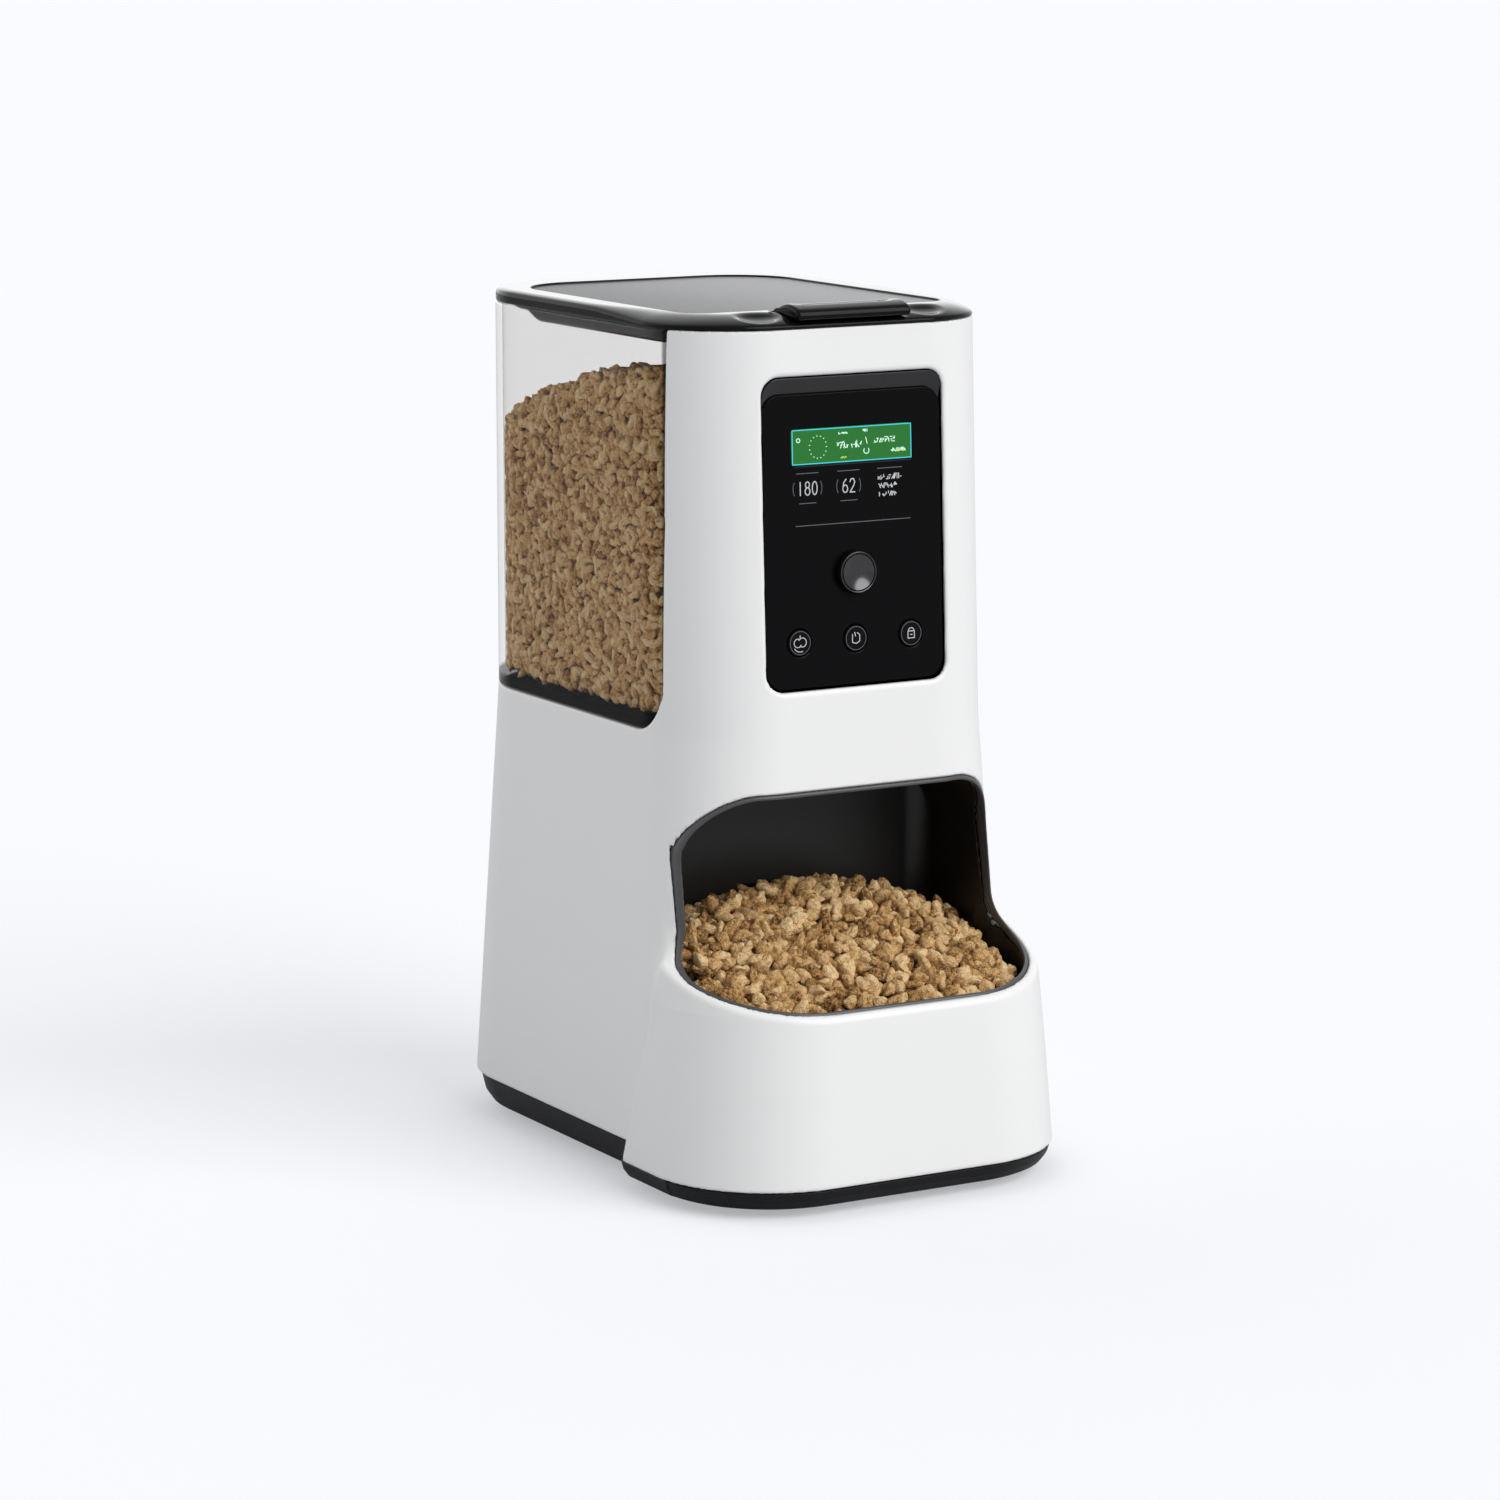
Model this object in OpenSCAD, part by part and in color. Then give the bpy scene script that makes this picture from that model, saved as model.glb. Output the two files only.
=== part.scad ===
// Automatic pet feeder: clear lift-off hopper behind a white front, control panel,
// dark feeding alcove with a lift-out bowl, motor-driven rotor below the hopper.
// Millimetres. +Z up, front of the feeder faces -Y, origin on the table plane
// under the middle of the body's outline.

/* [Body] */
// overall height to the top face of the lid
total_height = 350; // [320:1:400]
// half of the body width above the shoulder
tower_half = 73.5; // [65:0.5:85]
// half of the body width at its foot
foot_half = 84; // [76:0.5:92]
// y of the back face above the shoulder
tower_back = 122; // [110:1:126]
// y of the front face at the lid
front_top = -78; // [-84:0.5:-72]
// how far the front face comes forward per millimetre going down
front_lean = 0.0413; // [0:0.005:0.08]
// corner radius at the front of the tower
front_radius = 40; // [25:1:50]
// corner radius at the back of the tower
back_radius = 48; // [30:1:60]
// wall thickness of the white shell
wall = 2.8; // [2:0.1:4]

/* [Apron] */
// half width of the apron at its foot
apron_half = 89; // [84:0.5:94]
// y of the apron's front at its foot
apron_front = -127.5; // [-135:0.5:-120]
// plan corner radius of the apron
apron_radius = 52; // [35:1:60]
// height of the front rim
rim_front = 79; // [70:1:90]
// height where the side rims meet the tower
rim_side = 92; // [85:1:105]

/* [Alcove] */
// half width of the alcove inside the tower
alcove_half = 71.5; // [60:0.5:73]
// height of the alcove ceiling
alcove_top = 160; // [150:1:170]
// height of the alcove floor
alcove_floor = 40; // [30:1:50]
// y of the alcove's back wall
alcove_back = -18; // [-30:1:-10]

/* [Hopper] */
// height of the shoulder that the hopper rests on
shoulder = 184; // [175:1:200]
// y of the front edge of the hopper window
window_front = -53; // [-58:1:-45]
// wall thickness of the clear hopper
tank_wall = 2.8; // [2:0.1:4]

/* [Panel] */
// width of the black control panel
panel_w = 82; // [70:1:90]
// height of the black control panel with its sloping top bezel
panel_h = 123; // [100:1:130]
// height of the panel's middle above the table
panel_mid = 264; // [240:0.5:280]
// depth of the panel's flat face behind the white front
panel_depth = 2.6; // [0:0.2:4]
// diameter of the control knob
knob_d = 17.4; // [14:0.5:26]
// diameter of each button
button_d = 10.4; // [9:0.1:15]
// distance between button centres
button_pitch = 25.7; // [20:0.1:30]

/* [Drive] */
// teeth on the rotor's gear
gear_teeth = 48; // [36:1:60]
// teeth on the motor's pinion
pinion_teeth = 12; // [10:1:16]
// number of rotor paddles
paddles = 6; // [4:1:8]

/* [Hidden] */

lid_under = total_height - 5.5;
body_top = lid_under - 0.3;
lean_angle = atan(front_lean);
white_edge = 18;
apron_edge = 11.4;
rotor_y = 32;
motor_x = (gear_teeth + pinion_teeth) / 2;
seat = 0.3;
// base screws, [x, y, shank length]
screw_at = [[-58, -92, 19], [58, -92, 19], [-66, 84, 30], [66, 84, 30]];

// ---------- outlines ----------
function arc(cx, cy, r, a0, a1, n) =
  [for (i = [0:n]) [cx + r * cos(a0 + (a1 - a0) * i / n), cy + r * sin(a0 + (a1 - a0) * i / n)]];
// rounded rectangle with different front and back radii
function outline(w, yf, yb, rf, rb, n = 8) = concat(
  arc(w - rf, yf + rf, rf, -90, 0, n), arc(w - rb, yb - rb, rb, 0, 90, n),
  arc(-w + rb, yb - rb, rb, 90, 180, n), arc(-w + rf, yf + rf, rf, 180, 270, n));
function at(pts, z) = [for (p = pts) [p[0], p[1], z]];

function below(z) = max(0, shoulder - z) / (shoulder - white_edge);
function tower_w(z) = tower_half + (foot_half - tower_half) * below(z);
function tower_yb(z) = tower_back + (127.5 - tower_back) * below(z);
function tower_yf(z) = front_top - (lid_under - z) * front_lean;
function tower_ring(z, t) = outline(tower_w(z) - t, tower_yf(z) + t, tower_yb(z) - t,
  front_radius - t, back_radius + 3 * below(z) - t);

apron_z = [0, 11.4, 50, 80, 92, 105, 118];
apron_w = [apron_half + 0.7, apron_half, apron_half - 2.6, apron_half - 5, apron_half - 7.2,
  apron_half - 10, apron_half - 11.4];
apron_y = [apron_front, apron_front, apron_front + 1.8, apron_front + 3.5, apron_front + 4.4,
  apron_front + 5.5, apron_front + 7];
function apron_ring(i, t) = outline(apron_w[i] - t, apron_y[i] + t, -30 - t,
  apron_radius - t, 8 - min(t, 5));

module loft(rings) {
  n = len(rings[0]);
  m = len(rings);
  polyhedron(points = [for (r = rings) for (p = r) p],
    faces = concat([[for (i = [0:n - 1]) i]],
      [for (k = [0:m - 2]) for (i = [0:n - 1]) for (h = [0, 1])
        h == 0 ? [k * n + i, (k + 1) * n + i, (k + 1) * n + (i + 1) % n]
          : [k * n + i, (k + 1) * n + (i + 1) % n, k * n + (i + 1) % n]],
      [[for (i = [n - 1:-1:0]) (m - 1) * n + i]]), convexity = 8);
}

// side view drawn as [y, z], extruded across x
module side_cut(pts, half) {
  translate([-half, 0, 0]) rotate([90, 0, 90]) linear_extrude(2 * half) polygon(pts);
}
// front view drawn as [x, z], extruded from y0 back to y1
module front_cut(pts, y0, y1) {
  translate([0, y1, 0]) rotate([90, 0, 0]) linear_extrude(y1 - y0) polygon(pts);
}

module tower(t, z0, z1) {
  loft([for (z = [z0, (z0 + min(z1, shoulder)) / 2, min(z1, shoulder), z1])
    at(tower_ring(z, t), z)]);
}
module apron_block(t, z0) {
  loft([for (i = [1:6]) at(apron_ring(i, t), i == 1 ? z0 : apron_z[i])]);
}

// everything under the rim and in front of the crease line
function rim_profile(d, z0) = concat([[-145, z0], [-48 - d, z0], [-49 - d, white_edge],
  [-62.5 - d, 92 - d], [-62.5 - d, 104 - d]],
  arc(-78, 104 - d, 12, 0, -75, 5), [[-124, rim_front - d], [-145, rim_front - d - 5.7]]);
module apron_body(t, d, z0) {
  intersection() {
    apron_block(t, z0);
    side_cut(rim_profile(d, z0), 100);
  }
}

// alcove space, grown by g
module alcove_space(g) {
  h = alcove_half + g;
  r = 28 + g;
  top = alcove_top + g;
  intersection() {
    front_cut(concat([[-90, 20], [90, 20], [90, 95], [h, 95]], arc(h - r, top - r, r, 0, 90, 8),
      arc(-h + r, top - r, r, 90, 180, 8), [[-h, 95], [-90, 95]]), -140, 0);
    translate([0, 0, alcove_floor - g]) linear_extrude(140)
      polygon(stepped(76.5 + g, h + 0.6, -118.5 - g, -62 + g, alcove_back + g, 44 + g, 8 + g));
  }
}
// plan shape with a wide front part and a narrower back part
function stepped(wf, wb, yf, ys, yb, rf, rb) = concat(arc(wf - rf, yf + rf, rf, -90, 0, 8),
  [[wf, ys], [wb, ys]], arc(wb - rb, yb - rb, rb, 0, 90, 5),
  arc(-wb + rb, yb - rb, rb, 90, 180, 5), [[-wb, ys], [-wf, ys]],
  arc(-wf + rf, yf + rf, rf, 180, 270, 8));

// frame lying on the leaning front face: x right, y inwards, z up the face
module on_face(x, z) {
  translate([x, tower_yf(z), z]) rotate([-lean_angle, 0, 0]) children();
}
module face_cyl(x, z, r, y0, y1) {
  on_face(x, z) translate([0, y1, 0]) rotate([90, 0, 0]) cylinder(h = y1 - y0, r = r, $fn = 40);
}
module face_plate(x, z, w, h, r, y0, y1) {
  on_face(x, z) translate([0, y1, 0]) rotate([90, 0, 0]) linear_extrude(y1 - y0)
    polygon(concat(arc(w / 2 - r, -h / 2 + r, r, -90, 0, 6), arc(w / 2 - r, h / 2 - r, r, 0, 90, 6),
      arc(-w / 2 + r, h / 2 - r, r, 90, 180, 6), arc(-w / 2 + r, -h / 2 + r, r, 180, 270, 6)));
}

knob_z = 247.5;
button_z = 221;
lcd_z = 298;

// ---------- housing ----------
module base_pan() {
  color([0.2, 0.21, 0.22]) difference() {
    union() {
      loft([at(outline(84, -122.5, -40, 47, 6), 3), at(outline(87.4, -126, -40, 50.5, 6), 6.5),
        at(outline(87.8, -126.3, -40, 51, 6), apron_edge - 0.2)]);
      loft([at(outline(76.5, -84, 120, 36, 44), 3), at(outline(81.4, -88, 125, 38, 48), 8),
        at(outline(82, -88, 125.5, 38, 49), white_edge - 0.2)]);
    }
    loft([at(outline(80, -118.5, -42, 43, 4), 5.5), at(outline(85, -123.5, -42, 48, 4), 12)]);
    loft([at(outline(74, -81, 117.5, 33, 41), 5.5), at(outline(79.2, -84, 122.7, 35, 46), 18)]);
    // over the apron the pan stops at the lower edge
    translate([-100, -140, apron_edge - 0.2]) cube([200, 92.3, 30]);
    // battery opening
    translate([-54.4, 24, 2]) cube([108.8, 86, 5]);
    for (p = screw_at) translate([p[0], p[1], 2]) {
      cylinder(h = 5, r = 1.8, $fn = 24);
      cylinder(h = 2.4, r = 3.2, $fn = 24);
    }
  }
  // guides that hold the main board
  color([0.2, 0.21, 0.22]) for (s = [-1, 1]) difference() {
    translate([s * 44 - 4, 102, 5.4]) cube([8, 9, 92]);
    translate([s * 40 - 4.6, 105.6, 12]) cube([9.2, 2.2, 100]);
  }
}

module housing_shell() {
  color([0.93, 0.93, 0.92]) difference() {
    union() {
      difference() {
        union() {
          tower(0, white_edge, body_top);
          apron_body(0, 0, apron_edge);
        }
        tower(wall, white_edge - 1, body_top + 1);
        apron_body(wall, 3.2, apron_edge - 1);
        // the pan's rim reaches under the apron here
        translate([-79, -60, 5]) cube([158, 40, 40]);
      }
      // rear screw bosses on the wall
      for (s = [-1, 1]) translate([s * 66, 84, 22]) {
        cylinder(h = 30, r = 4.5, $fn = 24);
        translate([s > 0 ? 0 : -14.5, -1.5, 0]) cube([14.5, 3, 30]);
      }
    }
    for (s = [-1, 1]) translate([s * 66, 84, 10]) cylinder(h = 30, r = 1.5, $fn = 24);
    alcove_space(2.7);
    // window cut
    side_cut(concat([[window_front, 360], [window_front, 204]],
      arc(window_front + 20, shoulder + 20, 20, 180, 270, 8), [[200, shoulder], [200, 360]]), 100);
    face_plate(0, panel_mid, panel_w + 0.6, panel_h + 0.6, 7.3, -5, 8);
    translate([-6, 118, 32]) cube([12, 14, 6.4]);
  }
}

module alcove_liner() {
  color([0.11, 0.1, 0.09]) difference() {
    union() {
      intersection() {
        difference() {
          alcove_space(2.4);
          alcove_space(0);
          // chute mouth in the back wall
          translate([-17, -30, 86]) cube([34, 20, 25]);
        }
        union() {
          tower(0.8, 30, 200);
          difference() {
            apron_body(0.8, -0.6, 20);
            translate([-100, -60, 0]) cube([200, 80, 30]);
          }
          translate([-alcove_half - 2.4, -60, 30]) cube([2 * alcove_half + 4.8, 50, 130]);
        }
      }
      for (s = [-1, 1]) translate([s * 58, -92, 8.2]) cylinder(h = 30, r = 4, $fn = 24);
    }
    for (s = [-1, 1]) translate([s * 58, -92, 6]) cylinder(h = 20, r = 1.5, $fn = 24);
  }
}

module control_panel() {
  d = panel_depth;
  h = panel_h / 2;
  color([0.06, 0.06, 0.07]) difference() {
    intersection() {
      face_plate(0, panel_mid, panel_w, panel_h, 7, -1, d + 3.2);
      // flat face, then a bezel sloping out to the white front
      on_face(0, panel_mid) side_cut([[d + 3.2, -h - 1], [d, -h - 1], [d, h - 6.5],
        [d + 0.8, h - 6], [0.4, h], [0.4, h + 1], [d + 3.2, h + 1]], 60);
    }
    face_plate(0, lcd_z, 55.3, 14.3, 1.6, -3, d + 5);
    face_cyl(0, knob_z, 3.5, -3, d + 5);
    for (k = [-1:1]) face_cyl(k * button_pitch, button_z, button_d / 2 + 0.35, -3, d + 5);
  }
}

module lcd_lens() {
  color([0.2, 0.5, 0.3]) face_plate(0, lcd_z, 55, 14, 1.4, panel_depth + 0.1, panel_depth + 2);
}
module lcd_module() {
  color([0.3, 0.34, 0.3]) face_plate(0, lcd_z, 62, 22, 1, panel_depth + 3.4, panel_depth + 7.1);
}
module control_pcb() {
  color([0.1, 0.35, 0.2]) difference() {
    face_plate(0, panel_mid - 1.5, 70, 108, 2, panel_depth + 7.9, panel_depth + 9.5);
    for (x = [-31, 31]) for (z = [-50, 50])
      face_cyl(x, panel_mid - 1.5 + z, 1.6, panel_depth + 7, panel_depth + 11);
  }
}
module tact_switches() {
  color([0.15, 0.15, 0.16]) for (k = [-1:1]) {
    face_plate(k * button_pitch, button_z, 6, 6, 0.5, panel_depth + 6.4, panel_depth + 7.9);
    face_cyl(k * button_pitch, button_z, 1.6, panel_depth + 6, panel_depth + 6.5);
  }
}
module encoder_body() {
  color([0.55, 0.56, 0.58]) difference() {
    face_plate(0, knob_z, 12, 12, 0.6, panel_depth + 3.4, panel_depth + 7.8);
    face_cyl(0, knob_z, 3.06, panel_depth + 3, panel_depth + 7.1);
  }
}
module electronics_cover() {
  color([0.22, 0.22, 0.23]) difference() {
    translate([-60, -63.5, alcove_top + 4]) cube([120, 2, body_top - alcove_top - 5]);
    translate([-12, -64, body_top - 14]) cube([24, 3, 20]);
  }
}

// ---------- drive ----------
module rotor_housing() {
  color([0.3, 0.31, 0.33]) difference() {
    translate([0, rotor_y, 132]) cylinder(h = 34, r = 46, $fn = 72);
    translate([0, rotor_y, 136]) cylinder(h = 40, r = 43.5, $fn = 72);
    translate([0, rotor_y, 130]) cylinder(h = 10, r = 3.07, $fn = 48);
    translate([-15, -8.5, 130]) cube([30, 16, 8]);
  }
}
module dispensing_chute() {
  color([0.28, 0.28, 0.3]) difference() {
    side_cut([[-15.2, 86.4], [-15.2, 131.7], [6.6, 131.7], [6.6, 110]], 16.6);
    side_cut([[-16, 88.9], [-16, 110.7], [-12.6, 110.7], [-9, 117], [-9, 133], [4.6, 133],
      [4.6, 110.6]], 14.6);
  }
}
module motor_bracket() {
  color([0.6, 0.61, 0.62]) difference() {
    union() {
      translate([-41, 11, 113]) cube([84, 55, 2]);
      for (x = [-34, 34]) for (y = [14, 62]) translate([x, y, 115]) cylinder(h = 17, r = 3, $fn = 24);
    }
    translate([0, rotor_y, 110]) cylinder(h = 10, r = 3.07, $fn = 48);
    translate([motor_x, rotor_y, 110]) cylinder(h = 10, r = 5, $fn = 32);
  }
}
module gear_motor() {
  color([0.62, 0.63, 0.65]) difference() {
    union() {
      translate([motor_x, rotor_y, 92]) cylinder(h = 21, r = 18, $fn = 48);
      translate([motor_x, rotor_y, 62]) cylinder(h = 30, r = 13.8, $fn = 48);
      translate([motor_x, rotor_y, 113]) cylinder(h = 1.6, r = 4.6, $fn = 32);
    }
    translate([motor_x, rotor_y, 98]) cylinder(h = 20, r = 2.06, $fn = 48);
  }
}
module gear_outline(teeth, r_bore) {
  pr = teeth / 2;
  step = 360 / teeth;
  polygon([for (i = [0:teeth - 1]) for (q = [[-0.27, -1.15], [-0.13, 0.85], [0.13, 0.85], [0.27, -1.15]])
    [(pr + q[1]) * cos((i + q[0]) * step), (pr + q[1]) * sin((i + q[0]) * step)]]);
}
module drive_gear() {
  color([0.85, 0.84, 0.8]) difference() {
    translate([0, rotor_y, 118]) linear_extrude(6) gear_outline(gear_teeth, 3);
    translate([0, rotor_y, 117]) cylinder(h = 8, r = 3.02, $fn = 48);
  }
}
module rotor_impeller() {
  color([0.75, 0.42, 0.2]) {
    translate([0, rotor_y, 113.5]) cylinder(h = 45, r = 3, $fn = 48);
    translate([0, rotor_y, 136.5]) cylinder(h = 26, r = 9, $fn = 40);
    for (i = [0:paddles - 1]) translate([0, rotor_y, 136.5]) rotate([0, 0, 30 + i * 360 / paddles])
      translate([5, -1, 0]) cube([37.3, 2, 25]);
    translate([0, rotor_y, 162.4]) cylinder(h = 3.5, r1 = 9, r2 = 5, $fn = 40);
  }
}
module motor_pinion() {
  color([0.75, 0.72, 0.6]) translate([motor_x, rotor_y, 0]) {
    translate([0, 0, 117]) linear_extrude(8) rotate([0, 0, 180 / pinion_teeth])
      gear_outline(pinion_teeth, 2);
    translate([0, 0, 99]) cylinder(h = 20, r = 2, $fn = 48);
  }
}

// ---------- power ----------
module main_pcb() {
  color([0.1, 0.32, 0.18]) {
    translate([-43, 105.9, 30]) cube([86, 1.6, 66]);
    translate([-12, 101.6, 50]) cube([16, 4.4, 12]);
    translate([16, 99.6, 66]) cube([14, 6.4, 10]);
  }
}
module battery_holder() {
  color([0.16, 0.16, 0.17]) difference() {
    translate([-57, 26, 7.8]) cube([114, 72, 48]);
    translate([-54.4, 28.2, 7]) cube([108.8, 67.6, 46.4]);
  }
}
module battery_cells() {
  color([0.7, 0.7, 0.72]) for (k = [-1:1]) translate([k * 35.6, 31, 35.4]) rotate([-90, 0, 0]) {
    cylinder(h = 60, r = 16.9, $fn = 48);
    translate([0, 0, 59.9]) cylinder(h = 1.8, r = 4.7, $fn = 24);
  }
}
module battery_contacts() {
  color([0.78, 0.77, 0.72]) for (k = [-1:1]) {
    translate([k * 35.6 - 9, 28.3, 26]) cube([18, 0.6, 19]);
    translate([k * 35.6 - 9, 95.1, 26]) cube([18, 0.6, 19]);
    translate([k * 35.6, 28.8, 35.4]) rotate([-90, 0, 0]) difference() {
      cylinder(h = 2, r = 6, $fn = 24);
      translate([0, 0, -1]) cylinder(h = 4, r = 4.6, $fn = 24);
    }
  }
}
module usb_c_inlet() {
  color([0.7, 0.71, 0.73]) difference() {
    face = 125.2;
    translate([-4.6, face - 11, 33.5]) cube([9.2, 11, 3.4]);
    translate([-4, face - 6, 33.95]) cube([8, 8, 2.5]);
  }
}
module battery_door() {
  color([0.2, 0.21, 0.22]) {
    translate([-54, 24.4, 3]) cube([108, 73, 2.1]);
    for (s = [-1, 1]) translate([s * 52.9 - 1.1, 30, 5]) cube([2.2, 62, 2.2]);
    for (s = [-1, 1]) translate([s * 54.9 - 1.5, 30, 5.9]) cube([3, 62, 1.3]);
  }
}
module rubber_feet() {
  color([0.08, 0.08, 0.08]) for (x = [-64, 64]) for (y = [-72, 104])
    translate([y > 0 ? x * 0.75 : x, y, 0]) cylinder(h = 3, r1 = 7.4, r2 = 8, $fn = 40);
}
module base_screws() {
  color([0.6, 0.6, 0.62]) for (p = screw_at) translate([p[0], p[1], 0]) {
    translate([0, 0, 2.6]) cylinder(h = 1.7, r = 2.8, $fn = 24);
    translate([0, 0, 4.2]) cylinder(h = p[2], r = 1.4, $fn = 20);
  }
}

// ---------- hopper ----------
function tank_outer(t) = outline(tower_half - t, front_top + t, tower_back - t,
  front_radius - t, back_radius - t, 10);
module tank_slab(t, yclip, z0, z1) {
  intersection() {
    translate([0, 0, z0]) linear_extrude(z1 - z0) polygon(tank_outer(t));
    translate([-100, yclip, z0 - 1]) cube([200, 240, z1 - z0 + 2]);
  }
}
function funnel_ring(t, z, k) = let(o = outline(tower_half - 3.6 - t, -59.5 + t,
  tower_back - 3.6 - t, 26 - t, back_radius - 3.6 - t, 10))
  [for (p = o) let(a = atan2(p[1] - rotor_y, p[0]), c = 41 - t)
    [p[0] * (1 - k) + c * cos(a) * k, p[1] * (1 - k) + (rotor_y + c * sin(a)) * k, z]];
module funnel(t, drop) {
  loft([funnel_ring(t, 168.2 - drop, 1), funnel_ring(t, 171 - drop, 1), funnel_ring(t, 192, 0)]);
}

module hopper_tank() {
  color([0.82, 0.82, 0.8, 0.35]) {
    difference() {
      union() {
        intersection() {
          tank_slab(0, window_front + 0.3, shoulder + seat, body_top);
          side_cut(concat([[window_front + 0.3, 360], [window_front + 0.3, 204]],
            arc(window_front + 20, shoulder + 20, 19.7, 180, 270, 8),
            [[200, shoulder + seat], [200, 360]]), 100);
        }
        tank_slab(3.6, -60.5, 190, body_top);
        funnel(0, 0);
      }
      tank_slab(tank_wall, window_front + 3.1, 191.9, body_top + 1);
      tank_slab(6.4, -57.7, 191.9, body_top + 1);
      funnel(2.2, 0.6);
      // clearance for the lid's knuckles
      for (s = [-1, 1]) translate([s * 23 - 6.7, 124, 346]) rotate([0, 90, 0])
        cylinder(h = 13.4, r = 3.6, $fn = 32);
    }
    // hinge bracket and middle knuckle at the back
    difference() {
      union() {
        translate([-16, 124, 346]) rotate([0, 90, 0]) cylinder(h = 32, r = 3.2, $fn = 32);
        translate([-16, 121.5, 334]) cube([32, 3, 10]);
        translate([-16, 122.3, 340]) cube([32, 3.4, 6]);
      }
      translate([-17, 124, 346]) rotate([0, 90, 0]) cylinder(h = 34, r = 1.56, $fn = 32);
    }
  }
}
module outlet_collar() {
  color([0.35, 0.35, 0.36]) translate([0, rotor_y, 166.4]) difference() {
    cylinder(h = 4.4, r = 45, $fn = 64);
    translate([0, 0, -1]) cylinder(h = 8, r = 41.2, $fn = 64);
  }
}
// dry food as one plain body with a sloping top
module hopper_food() {
  function top_z(y) = 328 - 0.0016 * pow(max(0, y + 50), 2);
  n = 12;
  o = outline(tower_half - 7, -57, tower_back - 3.6, 26, back_radius - 4, 6);
  c = [0, 30];
  color([0.56, 0.42, 0.27]) union() {
    difference() {
      tank_slab(7, -57, 192, 330);
      side_cut([for (i = [0:n]) let(y = -80 + i * 17.5) [y, top_z(y)], [135, 340], [-80, 340]], 100);
    }
    loft([funnel_ring(3, 169.4, 1), funnel_ring(3, 171.6, 1), funnel_ring(4, 192.4, 0)]);
  }
}

// ---------- lid ----------
module lid_frame() {
  color([0.08, 0.08, 0.09]) difference() {
    union() {
      loft([at(outline(tower_half - 0.8, front_top + 0.8, tower_back - 0.9, 39, 47), lid_under),
        at(outline(tower_half, front_top, tower_back - 0.3, 40, 48), lid_under + 0.8),
        at(outline(tower_half, front_top, tower_back - 0.3, 40, 48), total_height - 0.8),
        at(outline(tower_half - 0.8, front_top + 0.8, tower_back - 1.1, 39, 47), total_height)]);
      for (s = [-1, 1]) translate([s * 23 - 6.3, 0, 0]) {
        translate([0, 124, 346]) rotate([0, 90, 0]) cylinder(h = 12.6, r = 3.2, $fn = 32);
        translate([0, 117, 346]) cube([12.6, 7, 3.2]);
      }
    }
    translate([0, 124, 346]) rotate([0, 90, 0]) translate([0, 0, -40]) cylinder(h = 80, r = 1.56, $fn = 32);
    translate([0, 0, 340]) linear_extrude(20) polygon(outline(57, -51, 97, 10, 26));
    translate([0, 0, 346.5]) linear_extrude(20) polygon(outline(60.2, -54.2, 100.2, 12, 28));
    translate([-16.4, 124, 346]) rotate([0, 90, 0]) cylinder(h = 32.8, r = 3.6, $fn = 32);
    translate([-16.4, 119.9, 343]) cube([32.8, 10, 10]);
    // latch seat, pivot groove and hook slot
    translate([-26.5, -82, 347.3]) cube([53, 25, 20]);
    translate([-26.5, -62.5, 348.6]) rotate([0, 90, 0]) cylinder(h = 53, r = 3.4, $fn = 32);
    translate([-29.2, -62.5, 348.6]) rotate([0, 90, 0]) cylinder(h = 58.4, r = 1.25, $fn = 24);
    translate([-7.8, -74.4, 340]) cube([15.6, 8.2, 20]);
    // finger scoops beside the latch
    for (s = [-1, 1]) translate([s * 38, -70, 362.5]) sphere(r = 15.5, $fn = 48);
  }
}
module lid_window() {
  color([0.45, 0.46, 0.48, 0.6]) translate([0, 0, 346.6])
    linear_extrude(2.7) polygon(outline(60, -54, 100, 11.8, 27.8));
}
module lid_gasket() {
  // shallow lip all round, deeper along the front of the sides
  color([0.13, 0.12, 0.11]) difference() {
    intersection() {
      translate([0, 0, 330]) linear_extrude(lid_under - 330)
        polygon(outline(66, -56, 117.6, 24, 43));
      side_cut(concat([[-60, 350], [-60, 337.6]], arc(64, 342.6, 5, 270, 320, 4),
        [[74, 341.4], [120, 341.4], [120, 350]]), 80);
    }
    translate([0, 0, 329]) linear_extrude(20) polygon(outline(63.6, -53.6, 115.2, 21.6, 40.6));
  }
}
module hinge_pin() {
  color([0.7, 0.71, 0.72]) translate([-29, 124, 346]) rotate([0, 90, 0])
    cylinder(h = 58, r = 1.5, $fn = 32);
}
module latch_pin() {
  color([0.7, 0.71, 0.72]) translate([-29, -62.5, 348.6]) rotate([0, 90, 0])
    cylinder(h = 58, r = 1.2, $fn = 24);
}
module lid_latch() {
  color([0.1, 0.1, 0.11]) difference() {
    union() {
      side_cut([[-79.4, 347.6], [-80, 348.6], [-79, 350.6], [-76, 352.6], [-71, 353.6],
        [-65, 353], [-61, 351.4], [-60, 350], [-60, 348.4], [-62, 347.6]], 26);
      translate([-26, -62.5, 348.6]) rotate([0, 90, 0]) cylinder(h = 52, r = 2.9, $fn = 32);
      translate([-7, -69.4, 337]) cube([14, 2.4, 12]);
    }
    translate([-30, -62.5, 348.6]) rotate([0, 90, 0]) cylinder(h = 60, r = 1.27, $fn = 24);
  }
}

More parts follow.
